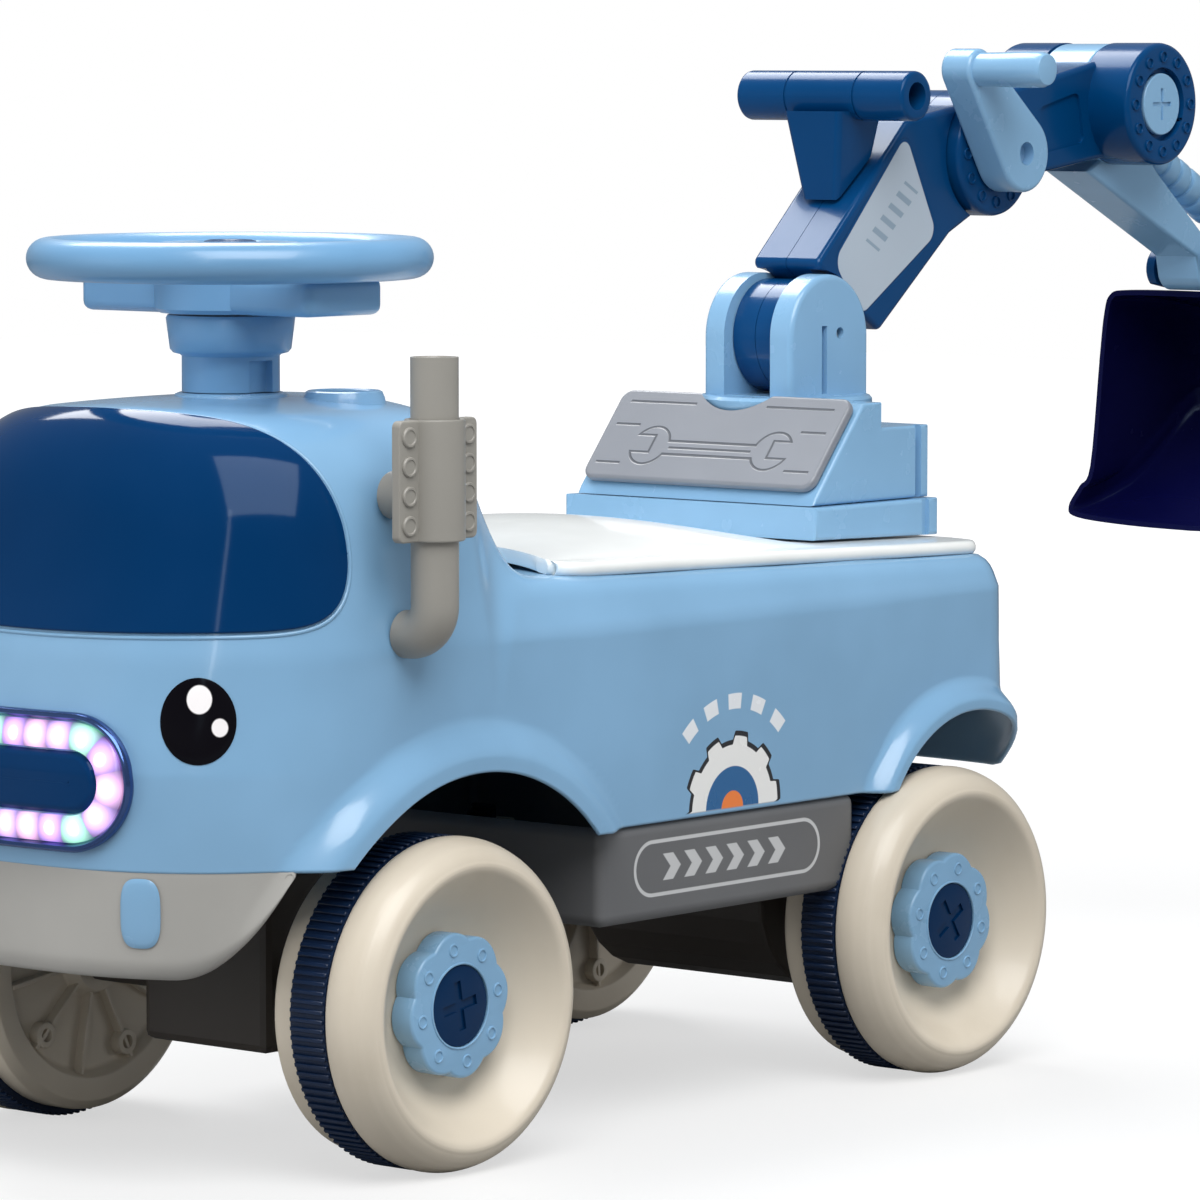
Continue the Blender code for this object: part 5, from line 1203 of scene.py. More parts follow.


# Painted shade: the sill's grey is the bumper's grey made darker for the shade under the body.
sill_shaded_finish = plastic("sill_shaded_finish", srgb(102, 103, 105), 0.45, detail=sill_print)
sill = block((-SILL_HALF, SILL_FRONT, SILL_LOW), (SILL_HALF, SILL_REAR, BODY_BOTTOM - 0.0005), 0.006, 4)
sill = cut(sill, block((-SILL_HALF + SILL_WALL, SILL_FRONT + SILL_WALL, SILL_LOW + SILL_WALL),
                       (SILL_HALF - SILL_WALL, SILL_REAR - SILL_WALL, BODY_BOTTOM + 0.02), SILL_WALL, 3))
piece("sill_moulding", sill, sill_shaded_finish, "lorry", ["sill_pan"])
steel = plastic("brushed_steel", srgb(176, 178, 182), 0.28, metallic=1.0, ripple=0.04, grain=0.3)
# The dark brown on the axle beam, rear bracket and battery case is painted shade.
for finish, names in ((under_shade_plastic, ("front_axle_beam", "rear_axle_bracket", "battery_case")),
                      (grey_plastic, ("battery_door",)), (deep_plastic, ("elbow_shaft", "outer_shaft")),
                      (steel, ("front_axle_rod", "rear_axle_rod", "steering_shaft", "boom_pin",
                               "bucket_pin"))):
    for name in names:
        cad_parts[name].data.materials[0] = finish
print("CAD solids under the body dressed")

# %% [markdown]
# ## Steering wheel and column
# The rim is a soft oval in section. A round hub with two broad spokes sits in it, a sprung horn button in
# the hub's middle, and under it a deeper housing that runs down into a cone and a column with a key notch.

# %% Steering
RIM_Z, RIM_RADIUS = 0.417, 0.0855
AXIS = (0.0, -AXLE_Y, 0.0)
rim_ring = turned([(RIM_RADIUS + 0.0098 * math.cos(a), RIM_Z + 0.0096 * math.sin(a))
                   for a in np.linspace(0.0, math.tau, 33)[:-1]], 128, AXIS)
spokes = block((-RIM_RADIUS, -AXLE_Y - 0.0165, RIM_Z - 0.0095),
               (RIM_RADIUS, -AXLE_Y + 0.0165, RIM_Z + 0.0040), 0.0035, 4)
hub_top = turned([(0.0, RIM_Z - 0.014), (0.034, RIM_Z - 0.014)]
                 + arc((0.0315, RIM_Z + 0.0048), 0.0025, 0, 90, 6)
                 + [(0.0165, RIM_Z + 0.0078), (0.0150, RIM_Z + 0.0066), (0.0, RIM_Z + 0.0066)],
                 72, AXIS, closed=False)
housing = block((-0.0735, -AXLE_Y - 0.026, RIM_Z - 0.0255),
                (0.0735, -AXLE_Y + 0.026, RIM_Z - 0.0080), 0.0045, 4)
hub_under = turned([(0.0, RIM_Z - 0.0255), (0.033, RIM_Z - 0.0255), (0.0355, RIM_Z - 0.0235),
                    (0.036, RIM_Z - 0.006), (0.0, RIM_Z - 0.006)], 64, AXIS, closed=False)
button_well = rod("Z", RIM_Z - 0.004, RIM_Z + 0.02, 0.0138, (0.0, -AXLE_Y), 48)
wheel_mesh = cut(rim_ring, ("UNION", spokes), ("UNION", housing), ("UNION", hub_under), ("UNION", hub_top),
                 button_well)
steer_finish = plastic("steer_finish", srgb(112, 160, 200), 0.3, coat=0.2, marks=0.08)
piece("steering_moulding", wheel_mesh, steer_finish, "steering", ["steering_wheel"],
      weigh=False)
button = turned([(0.0, RIM_Z - 0.0004), (0.0124, RIM_Z - 0.0004), (0.0130, RIM_Z + 0.0002),
                 (0.0130, RIM_Z + 0.0062),
                 (0.0122, RIM_Z + 0.0078), (0.0100, RIM_Z + 0.0084), (0.0086, RIM_Z + 0.0081),
                 (0.0074, RIM_Z + 0.0076), (0.0, RIM_Z + 0.0080)], 64, AXIS, closed=False)
piece("horn_push", button, deep_plastic, "horn", ["horn_button"], weigh=False)
column = turned([(0.0, RIM_Z - 0.0265), (0.0295, RIM_Z - 0.0265), (0.0303, RIM_Z - 0.0280),
                 (0.0285, RIM_Z - 0.0425),
                 (0.0270, RIM_Z - 0.0442), (0.0238, RIM_Z - 0.0450), (0.0230, RIM_Z - 0.0458),
                 (0.0230, COLUMN_FOOT), (0.0, COLUMN_FOOT)], 96, AXIS, closed=False)
key_notch = block((0.0185, -AXLE_Y - 0.0096, COLUMN_FOOT - 0.0046),
                  (0.05, -AXLE_Y + 0.0044, COLUMN_FOOT + 0.0149),
                  0.0006, 2)
column = cut(column, key_notch)
piece("column_moulding", column, steer_finish, "steering", ["steering_column"],
      weigh=False)

# %% [markdown]
# ## Exhaust stack
# One grey pipe stands on the left side: open at the top, with an elbow into the body below. A sleeve with
# two flanges clamps it, and a column of round studs stands on each side of each flange.

# %% Exhaust
PIPE_X, PIPE_Y, PIPE_R, PIPE_TOP, PIPE_LOW = 0.148, -0.2095, 0.011, 0.376, 0.2495
SLEEVE_LOW, SLEEVE_HIGH = 0.293, 0.348
PIPE_BEND = 0.014
pipe_wall = reach((0.0, PIPE_Y, PIPE_LOW), (1.0, 0.0, 0.0))[0]
route = [(x, PIPE_Y, PIPE_LOW) for x in np.linspace(pipe_wall + 0.0010, PIPE_X - PIPE_BEND, 3)[:-1]]
elbow_centre = (PIPE_X - PIPE_BEND, PIPE_LOW + PIPE_BEND)
route += [(x, PIPE_Y, z) for x, z in arc(elbow_centre, PIPE_BEND, -90.0, 0.0, 13)]
route += [(PIPE_X, PIPE_Y, z) for z in np.linspace(PIPE_LOW + PIPE_BEND, PIPE_TOP, 12)[1:]]
exhaust_finish = plastic("exhaust_finish", srgb(150, 147, 140), 0.40, ripple=0.14)
pipe = tube_round(route, PIPE_R, np.broadcast_to((0.0, 1.0, 0.0), (len(route), 3)), 40, closed=False)
mouth = turned([(0.0, PIPE_TOP - 0.030), (PIPE_R - 0.0022, PIPE_TOP - 0.030),
                (PIPE_R - 0.0022, PIPE_TOP - 0.0012),
                (PIPE_R - 0.0012, PIPE_TOP + 0.0002), (PIPE_R - 0.001, PIPE_TOP + 0.004),
                (0.0, PIPE_TOP + 0.004)],
               40, (PIPE_X, PIPE_Y, 0.0), closed=False)
piece("exhaust_stack", cut(pipe, mouth), exhaust_finish, "lorry", ["exhaust_pipe"],
      weigh=False)
sleeve = turned([(PIPE_R + 0.0006, SLEEVE_LOW), (PIPE_R + 0.0024, SLEEVE_LOW),
                 (PIPE_R + 0.0030, SLEEVE_LOW + 0.0008),
                 (PIPE_R + 0.0030, SLEEVE_HIGH - 0.0008), (PIPE_R + 0.0024, SLEEVE_HIGH),
                 (PIPE_R + 0.0006, SLEEVE_HIGH)],
                64, (PIPE_X, PIPE_Y, 0.0))


def clamp_bore():
    return rod("Z", SLEEVE_LOW - 0.01, SLEEVE_HIGH + 0.01, PIPE_R + 0.0016, (PIPE_X, PIPE_Y), 40)


wing = rounded([(PIPE_Y - 0.0265, SLEEVE_LOW), (PIPE_Y + 0.0265, SLEEVE_LOW), (PIPE_Y + 0.0265, SLEEVE_HIGH),
                (PIPE_Y - 0.0265, SLEEVE_HIGH)], 0.003, 4)
wings = cut(plate(wing, PIPE_X - 0.0025, PIPE_X + 0.0025, 0.0008, 2), clamp_bore())
stub_z = (SLEEVE_LOW + SLEEVE_HIGH) / 2 - 0.008
stub_wall = reach((0.0, PIPE_Y, stub_z - 0.011), (1.0, 0.0, 0.0))[0]
stub = cut(rod("X", stub_wall + 0.001, PIPE_X, 0.0110, (PIPE_Y, stub_z), 40, 0.0008), clamp_bore())
stud = turned([(0.0, 0.0), (0.0047, 0.0), (0.0047, 0.0007), (0.0042, 0.0013), (0.0034, 0.0013),
               (0.0031, 0.0008), (0.0, 0.0008)],
              28, axis="X", closed=False)
studs = []
for sign in (1, -1):
    for face_x, turn in ((0.0024, 0.0), (-0.0024, math.pi)):
        one = stud.copy()
        one.transform(Matrix.Translation((PIPE_X + face_x, PIPE_Y + sign * 0.0200, SLEEVE_LOW + 0.0076))
                      @ Matrix.Rotation(turn, 4, "Z"))
        studs.append(repeated(one, 4, step=(0.0, 0.0, 0.0133)))
clamp = joined(sleeve, wings, stub, *studs)
piece("exhaust_clamp", clamp, exhaust_finish, "lorry", ["exhaust_sleeve"])

# %% [markdown]
# ## Seat and the arm's stand
# The seat is a thin white panel with a crowned saddle; its front edge follows the bowed back of the cab.
# Behind it stands the plinth: a flange, a tower with a sloping front, and a grey tool tray with an open
# spanner pressed into it.

# %% Seat
SEAT_HALF, SEAT_FRONT, SEAT_REAR, SEAT_THICK = 0.113, CAB_BACK_Y + 0.046, 0.256, 0.0062
SEAT_CORNER, SEAT_COLUMNS = 0.020, 61


def seat_surface():
    """The seat's top as a grid: rows run from front to rear, columns from right to left."""
    rows = []
    for y in SEAT_FRONT + (SEAT_REAR - SEAT_FRONT) * (0.5 - 0.5 * np.cos(np.linspace(0.0, math.pi, 90))):
        ends = max(0.0, SEAT_CORNER - (y - SEAT_FRONT), SEAT_CORNER - (SEAT_REAR - y))
        half = SEAT_HALF - SEAT_CORNER + math.sqrt(max(SEAT_CORNER ** 2 - ends ** 2, 0.0))
        x = half * np.sin(np.linspace(-math.pi / 2, math.pi / 2, SEAT_COLUMNS))
        bow = CAB_BACK_BOW * x * x * max(0.0, 1.0 - (y - SEAT_FRONT) / 0.10)
        along = min(max((y + 0.060) / 0.200, 0.0), 1.0)
        saddle = np.clip(1.0 - (x / (SEAT_HALF - 0.012)) ** 2, 0.0, 1.0) ** 0.7
        crown = 0.014 * math.sin(math.pi * along) ** 0.8 * saddle
        bed = reach(np.stack([x, y - bow, np.full(SEAT_COLUMNS, 0.20)], axis=1), (0.0, 0.0, 1.0))[:, 2]
        rows.append(np.stack([x, y - bow, bed + 0.0002 + SEAT_THICK + crown], axis=1))
    return np.array(rows)


seat_points = seat_surface()
seat_normals = unit(np.cross(np.gradient(seat_points, axis=1), np.gradient(seat_points, axis=0)))
seat_finish = plastic("seat_finish", srgb(238, 240, 238), 0.22, coat=0.35, ripple=0.10)
seat = thick_sheet(seat_points, seat_normals, SEAT_THICK + 0.0008)
piece("seat_moulding", seat, seat_finish, "lorry", ["seat_panel"], weigh=False)

# %% Plinth
PLINTH_FRONT, PLINTH_REAR, PLINTH_TOP, TOWER_STEP, TOWER_TOP = 0.152, 0.254, 0.2845, 0.322, 0.335
TURRET_R = 0.045
lift = 0.0010 + SEAT_THICK + GAP
base_outline = [(PLINTH_FRONT, bed_height(PLINTH_FRONT) + lift),
                (PLINTH_REAR, bed_height(PLINTH_REAR) + lift),
                (PLINTH_REAR, PLINTH_TOP), (PLINTH_FRONT, PLINTH_TOP)]
base_grooves = [block((sign * 0.0815 - 0.0010, 0.2400, 0.24), (sign * 0.0815 + 0.0030, 0.2460, 0.30))
                for sign in (1, -1)]
base = cut(plate(base_outline, -0.083, 0.083, 0.0022, 4), *base_grooves)
piece("plinth_flange", base, sky_plastic, "lorry", ["plinth_base"])
foot_z = PLINTH_TOP + GAP
slope_low = Vector((PLINTH_FRONT + 0.0065, foot_z + 0.004))
slope_high = Vector((PLINTH_FRONT + 0.0450, TOWER_TOP))
tower_outline = [(PLINTH_FRONT + 0.0040, foot_z), (PLINTH_REAR - 0.002, foot_z),
                 (PLINTH_REAR - 0.002, TOWER_STEP),
                 (PLINTH_FRONT + 0.0610, TOWER_STEP), (PLINTH_FRONT + 0.0610, TOWER_TOP), tuple(slope_high),
                 tuple(slope_low)]
tower_grooves = [block((sign * 0.0768 - 0.0030, 0.2405, 0.24), (sign * 0.0768 + 0.0030, 0.2455, 0.36))
                 for sign in (1, -1)]
seat_ring = rod("Z", TOWER_STEP, TOWER_TOP + 0.03, TURRET_R + 0.0015, (0.0, TURRET_Y), 96)
tower = cut(plate(tower_outline, -0.078, 0.078, 0.0018, 4), seat_ring, *tower_grooves)
tower = cut(tower, rod("Z", TOWER_STEP - 0.020, TOWER_STEP + 0.01, 0.0126, (0.0, TURRET_Y), 32))
piece("plinth_stand", tower, sky_plastic, "lorry", ["plinth_tower"])

# %% Tool tray
along = (slope_high - slope_low).normalized()
face = Vector((-along.y, along.x))
tray_low = slope_low + along * 0.002 + face * 0.0005
tray_length = (slope_high - along * 0.001 + face * 0.0005 - tray_low).length


def tray_grooves_and_shade(tree, place, base, rough, height):
    """An open-ended spanner in outline, with short lines round it, pressed into the tray's face; the grooves
    are darkened with painted shade.
    """
    x, y, z = place.parts()
    aside = abs(x)
    up = y - (tray_low.x - SHIFT)
    v = up * along.x + (z - tray_low.y) * along.y
    front = up * face.x + (z - tray_low.y) * face.y
    soft, line = 0.0003, 0.0007

    def bar(at_x, at_v, half_x, half_v):
        """A bar on both sides of the middle line."""
        wide = abs(aside - at_x).ramp(half_x + soft, half_x - soft)
        return wide * abs(v - at_v).ramp(half_v + soft, half_v - soft)

    def disc(at_x, at_v, size):
        """A disc on both sides of the middle line."""
        span = ((aside - at_x) * (aside - at_x) + (v - at_v) * (v - at_v)).root()
        return span.ramp(size + soft, size - soft)

    middle = tray_length * 0.36
    head = (0.040, middle + 0.001)
    jaws = (0.050, middle + 0.0020)
    tool = bar(0.0, middle, 0.036, 0.0050).high(disc(*head, 0.0125)) * (1.0 - bar(*jaws, 0.0105, 0.0048))
    within = bar(0.0, middle, 0.032, 0.0034).high(disc(*head, 0.0112)) * (1.0 - bar(*jaws, 0.0118, 0.0061))
    marks = (tool * (1.0 - within)).high(bar(0.0, middle, 0.0270, line))
    for at_x, share, half in ((0.045, 0.86, 0.022), (0.061, 0.60, 0.008), (0.062, 0.17, 0.008)):
        marks = marks.high(bar(at_x, tray_length * share, half, line))
    marks = marks * front.ramp(0.004, 0.0045)
    # Painted shade: the grooves of the spanner and its lines are drawn in a darker grey.
    base = blend_colour(tree, marks * 0.9, base, srgb(66, 70, 78))
    return base, rough + marks * 0.05, height - marks * 0.9


tray_finish = plastic("tray_finish", srgb(128, 132, 140), 0.34, coat=0.1, detail=tray_grooves_and_shade)
TRAY_HALF, TRAY_THICK = 0.0755, 0.005
tray_corners = [(-TRAY_HALF, 0.0), (TRAY_HALF, 0.0), (TRAY_HALF, tray_length), (-TRAY_HALF, tray_length)]
tray_outline = rounded(tray_corners, 0.007, 8)
tray = plate(tray_outline, 0.0, TRAY_THICK, 0.0017, 4)
tray.transform(Matrix(((0.0, -1.0, 0.0, 0.0), (face.x, 0.0, along.x, tray_low.x),
                       (face.y, 0.0, along.y, tray_low.y), (0.0, 0.0, 0.0, 1.0))))
tray_cut = rod("Z", TOWER_STEP - 0.02, TOWER_TOP + 0.03, TURRET_R + 0.0015, (0.0, TURRET_Y), 96)
piece("tool_tray_moulding", cut(tray, tray_cut), tray_finish, "lorry", ["tool_tray"])

# %% [markdown]
# ## Turret
# The arm swings on a round foot with two ears. The foot's bowl sits in a notch of the tray, a slot keeps
# the ears apart for the boom's tongue, and each ear has a shallow slot and a small hole beside the hidden
# pivot pin.

# %% Turret
EAR_OUT, EAR_IN, EAR_R, PIN_R = 0.029, 0.0152, 0.0325, 0.0055
foot_low = TOWER_STEP + GAP
bowl = turned([(0.0, TOWER_TOP + 0.0010), (TURRET_R - 0.0035, TOWER_TOP + 0.0010),
               (TURRET_R - 0.0014, TOWER_TOP + 0.0006),
               (TURRET_R, TOWER_TOP - 0.0010), (TURRET_R, TOWER_TOP - 0.0042),
               (TURRET_R - 0.0020, TOWER_TOP - 0.0085),
               (TURRET_R - 0.006, foot_low), (0.0120, foot_low), (0.0120, foot_low - 0.018),
               (0.0, foot_low - 0.018)],
              96, (0.0, TURRET_Y, 0.0), closed=False)
ear_y = TURRET_Y + 0.0005
ear_outline = arc((ear_y, BOOM_PIVOT[1]), EAR_R, 0.0, 180.0, 41) + [(ear_y - EAR_R, TOWER_TOP - 0.003),
                                                                     (ear_y + EAR_R, TOWER_TOP - 0.003)]
ears = plate(ear_outline, -EAR_OUT, EAR_OUT, 0.0030, 5)
tongue_slot = block((-EAR_IN, TURRET_Y - 0.06, TOWER_TOP + 0.0012),
                    (EAR_IN, TURRET_Y + 0.06, TOWER_TOP + 0.10))
SLOT_DEEP = 0.0045
face_slots = [block((sign * EAR_OUT - SLOT_DEEP, BOOM_PIVOT[0] - 0.0106, TOWER_TOP + 0.002),
                    (sign * EAR_OUT + SLOT_DEEP, BOOM_PIVOT[0] - 0.0062, BOOM_PIVOT[1] + 0.006))
              for sign in (1, -1)]
pin_hole = rod("X", -0.0272, 0.0272, PIN_R + 0.0003, BOOM_PIVOT, 40)
small_hole = rod("X", -0.08, 0.08, 0.0030, (BOOM_PIVOT[0] + 0.0045, BOOM_PIVOT[1] + 0.002), 28)
turret = cut(bowl, ("UNION", ears), tongue_slot, *face_slots, pin_hole, small_hole)
piece("turret_moulding", turret, sky_plastic, "turret", ["turret"])

# %% [markdown]
# ## Boom and its handle
# Two dark half shells meet on a centre seam. Each carries an inset pale panel, here with plain short bars.
# On top stands a tapering post with a crossbar to push the arm up and down; its ends are hollow mouldings.

# %% Boom
HALF_BOOM, DEPTH, BEYOND = 0.022, 0.066, 0.08
BOOM_LEAN = math.radians(42.0)
lean = Vector((math.cos(BOOM_LEAN), math.sin(BOOM_LEAN)))
rise = Vector((-lean.y, lean.x))
start = Vector(BOOM_PIVOT)
crest = start + lean * 0.128 + rise * (DEPTH / 2 + 0.002)
sole = start + lean * 0.115 - rise * (DEPTH / 2 + 0.002)
lower = start + lean * 0.036 - rise * (DEPTH / 2 - 0.002)
upper = start + lean * 0.020 + rise * (DEPTH / 2 - 0.001)
elbow = Vector(ELBOW)
KNUCKLE_R, KNUCKLE_HALF, FORK_IN = 0.0333, 0.0160, 0.0166
PANEL = [Vector((0.305, 0.470)), Vector((0.244, 0.405)), Vector((0.266, 0.375)), Vector((0.332, 0.417))]


def panel_print(tree, place, base, rough, height):
    """A pale panel inset in each side, inside four edges with rounded corners, with a row of short bars."""
    x, y, z = place.parts()
    side = abs(x).ramp(HALF_BOOM - 0.0012, HALF_BOOM - 0.0006)
    corner, outside = 0.008, None
    for here, there in zip(PANEL, PANEL[1:] + PANEL[:1]):
        edge = (there - here).normalized()
        inward = (z - here.y) * edge.x - (y - (here.x - SHIFT)) * edge.y
        short = (corner - inward).high(0.0)
        outside = short * short if outside is None else outside + short * short
    depth = corner - outside.root()
    inside, rim = depth.ramp(0.0000, 0.0005), ring_mask(depth, -0.0009, 0.0006)
    ahead, up = y - (PANEL[1].x - SHIFT), z - PANEL[1].y
    across, over = ahead * lean.x + up * lean.y, up * lean.x - ahead * lean.y
    slant = across + over * 0.35
    stripes = ring_mask((slant * 110.0).fraction(), 0.5, 0.2, 0.04) * abs(slant - 0.0455).ramp(0.0230, 0.0227)
    stripes = stripes * abs(over + 0.0165).ramp(0.0062, 0.0058)
    base = blend_colour(tree, inside * side, base, srgb(178, 190, 202))
    base = blend_colour(tree, stripes * side, base, srgb(142, 160, 176))
    return base, rough + inside * side * 0.08, height - rim * side * 0.8


boom_finish = plastic("boom_finish", DEEP, 0.2, coat=0.2, detail=panel_print, shine=0.4)
boom_corners = [upper, lower, sole, elbow + Vector((-0.004, -0.030)), elbow + Vector((-0.020, 0.026)), crest]
boom_outline = rounded([tuple(corner) for corner in boom_corners],
                       [0.004, 0.004, 0.006, 0.004, 0.004, 0.009], 6)


def boom_round(centre, radius, inset):
    """A round end of the boom, a little narrower than the boom itself."""
    return plate(arc(centre, radius, 0.0, 360.0, 73)[:-1], -HALF_BOOM + inset, HALF_BOOM - inset, 0.001, 2)


for side, sign in (("left", 1), ("right", -1)):
    shell = plate(boom_outline, -HALF_BOOM, HALF_BOOM, 0.0030, 5)
    ear_room = sorted((sign * 0.0145, sign * BEYOND))
    knuckle_room = sorted((sign * KNUCKLE_HALF, sign * BEYOND))
    parting = sorted((sign * GAP / 2, -sign * 0.1))
    shell = cut(shell, ("UNION", boom_round(BOOM_PIVOT, EAR_R - 0.003, 0.0002)),
                ("UNION", boom_round(ELBOW, KNUCKLE_R, 0.0003)),
                rod("X", *ear_room, EAR_R + 0.0022, (ear_y, BOOM_PIVOT[1]), 96),
                rod("X", *knuckle_room, KNUCKLE_R + 0.0020, ELBOW, 96),
                *[rod("X", -BEYOND, BEYOND, PIN_R + 0.0005, pivot, 40) for pivot in (BOOM_PIVOT, ELBOW)],
                block((parting[0], 0.15, 0.30), (parting[1], 0.45, 0.55)))
    piece(f"boom_half_{side}", shell, boom_finish, "boom", [f"boom_shell_{side}"])

# %% Handle
HANDLE, HANDLE_R, HANDLE_HALF = (0.271, 0.490), 0.013, 0.055
bar = rod("X", -HANDLE_HALF, HANDLE_HALF, HANDLE_R, HANDLE, 64, 0.0022)
post_foot = start + lean * 0.079 + rise * (DEPTH / 2 - 0.010)
post_top = HANDLE[1] - HANDLE_R + 0.005
bm = bmesh.new()
bmesh.ops.create_cone(bm, cap_ends=True, segments=4, radius1=0.0165, radius2=0.0265,
                      depth=post_top - post_foot.y,
                      matrix=Matrix.Rotation(math.radians(45), 4, "Z"))
bmesh.ops.translate(bm, verts=bm.verts, vec=(0.0, HANDLE[0], (post_top + post_foot.y) / 2))
corners = [edge for edge in bm.edges if abs(edge.verts[0].co.z - edge.verts[1].co.z) > 0.01]
bmesh.ops.bevel(bm, geom=corners, offset=0.0035, segments=5, profile=0.5, affect="EDGES")
post = closed_mesh(bm)
gap_up = rise * (0.0015 + GAP)
below = [tuple(upper + gap_up - lean * 0.03), tuple(upper - rise * 0.06), tuple(crest - rise * 0.06),
         tuple(crest + gap_up)]
hollow = [rod("X", *sorted((sign * (HANDLE_HALF - 0.014), sign * (HANDLE_HALF + 0.01))), 0.0072, HANDLE, 40)
          for sign in (1, -1)]
seams = [cut(rod("X", at - 0.0006, at + 0.0006, HANDLE_R + 0.002, HANDLE, 64),
             rod("X", at - 0.002, at + 0.002, HANDLE_R - 0.0006, HANDLE, 64)) for at in (-0.0225, 0.0225)]
handle = cut(bar, *hollow, *seams, ("UNION", post), plate(below, -0.06, 0.06))
piece("handle_moulding", handle, deep_plastic, "boom", ["boom_handle"])

# %% [markdown]
# ## Stick, elbow and lever
# The middle arm is a box with a round drum at each end. Rings of small raised circles decorate both drums,
# and a lever with a round grip moves the stick from the left side.

# %% Stick
OUT_CAP = 0.048
outer, inner = Vector(OUTER), Vector(ELBOW)
reach_on = (outer - inner).normalized()
stand_up = Vector((-reach_on.y, reach_on.x))
box = [inner + reach_on * 0.030 + stand_up * 0.0285, inner + reach_on * 0.030 - stand_up * 0.0200,
       outer - reach_on * 0.020 - stand_up * 0.0255, outer - reach_on * 0.020 + stand_up * 0.0275]


def drum(centre, low_x, high_x, radius=KNUCKLE_R, edge=0.0030):
    return rod("X", low_x, high_x, radius, centre, 96, edge)


stick = plate([tuple(p) for p in box], -HALF_BOOM, HALF_BOOM, 0.0030, 5)
stick = cut(stick, ("UNION", drum(ELBOW, -0.045, 0.029)), ("UNION", drum(OUTER, -OUT_CAP, OUT_CAP)))
stick = cut(stick,
            *[rod("X", -FORK_IN, FORK_IN, KNUCKLE_R + 0.0015, centre, 96) for centre in (ELBOW, OUTER)],
            *[rod("X", -0.06, 0.06, PIN_R + 0.0003, centre, 40) for centre in (ELBOW, OUTER)],
            rod("X", 0.0440, 0.06, 0.0200, OUTER, 64))
windows = []
for sign in (1, -1):
    near, end = inner + reach_on * 0.052, outer - reach_on * 0.040
    corners = [near + stand_up * 0.0140, near - stand_up * 0.0110, end - stand_up * 0.0130,
               end + stand_up * 0.0150]
    frame_line = rounded([tuple(corner) for corner in corners], 0.004, 5)
    windows.append(plate(frame_line, *sorted((sign * (HALF_BOOM - 0.0016), sign * (HALF_BOOM + 0.01)))))
stick = cut(stick, *windows)
piece("stick_moulding", stick, deep_plastic, "stick", ["stick"])


def stud_ring(centre, x, count, radius, stud, sign=1.0):
    """A ring of small raised circles on a drum's face."""
    one = turned([(stud * 0.72, -0.0004), (stud, -0.0004), (stud, 0.0006), (stud * 0.93, 0.0010),
                  (stud * 0.79, 0.0010), (stud * 0.72, 0.0006)], 24)
    one.transform(Matrix.Translation((radius, 0.0, 0.0)))
    ring = repeated(one, count, turn=math.tau / count)
    ring.transform(Matrix.Rotation(math.radians(90.0 * sign), 4, "Y"))
    ring.transform(Matrix.Translation((x, *centre)))
    return ring


for name, centre, x, sign in (("outer_studs_left", OUTER, OUT_CAP, 1.0),
                              ("outer_studs_right", OUTER, -OUT_CAP, -1.0),
                              ("elbow_studs_left", ELBOW, 0.029, 1.0),
                              ("elbow_studs_right", ELBOW, -0.045, -1.0)):
    piece(name, stud_ring(centre, x, 12, 0.0258, 0.0032, sign), deep_plastic, "stick")
CROSS_LONG, CROSS_THIN, CROSS_FLOOR = 0.0085, 0.0012, 0.0462
cross = [block((CROSS_FLOOR, OUTER[0] - half_y, OUTER[1] - half_z),
               (0.06, OUTER[0] + half_y, OUTER[1] + half_z))
         for half_y, half_z in ((CROSS_LONG, CROSS_THIN), (CROSS_THIN, CROSS_LONG))]
cap = cut(rod("X", 0.0444, 0.0475, 0.0168, OUTER, 64, 0.0008), *cross)
piece("outer_screw_cover", cap, sky_plastic, "stick", ["outer_screw_cap"])


def tapered(start, end, start_radius, end_radius, count=24):
    """The outline of a bar with round ends of two sizes, in (y, z)."""
    start, end = Vector(start), Vector(end)
    heading = math.degrees(math.atan2(end.y - start.y, end.x - start.x))
    tilt = math.degrees(math.asin((start_radius - end_radius) / (end - start).length))
    return (arc(start, start_radius, heading + 90 - tilt, heading + 270 + tilt, count)
            + arc(end, end_radius, heading - 90 + tilt, heading + 90 - tilt, count))


LEVER_TOP, LEVER_X = (0.335, 0.5035), 0.049
lever = plate(tapered(ELBOW, LEVER_TOP, 0.0205, 0.0110), 0.0294, LEVER_X, 0.0025, 4)
grip = turned([(0.0, LEVER_X - 0.006), (0.0088, LEVER_X - 0.006), (0.0090, LEVER_X + 0.010),
               (0.0095, LEVER_X + 0.030),
               (0.0093, LEVER_X + 0.0395), (0.0080, LEVER_X + 0.0425), (0.0060, LEVER_X + 0.0430),
               (0.0, LEVER_X + 0.0430)],
              56, (0.0, *LEVER_TOP), "X", closed=False)
lever = cut(lever, ("UNION", grip), rod("X", LEVER_X - 0.006, LEVER_X + 0.01, 0.0062, ELBOW, 48))
piece("lever_moulding", lever, sky_plastic, "stick", ["hand_lever"])

# %% [markdown]
# ## Forearm, piston and bucket
# A light blue beam runs down from the outer drum, with a ribbed mock piston over it. The dark scoop hangs
# on a clevis: a thin open shell, deep inside, whose lip flares out and bows down.

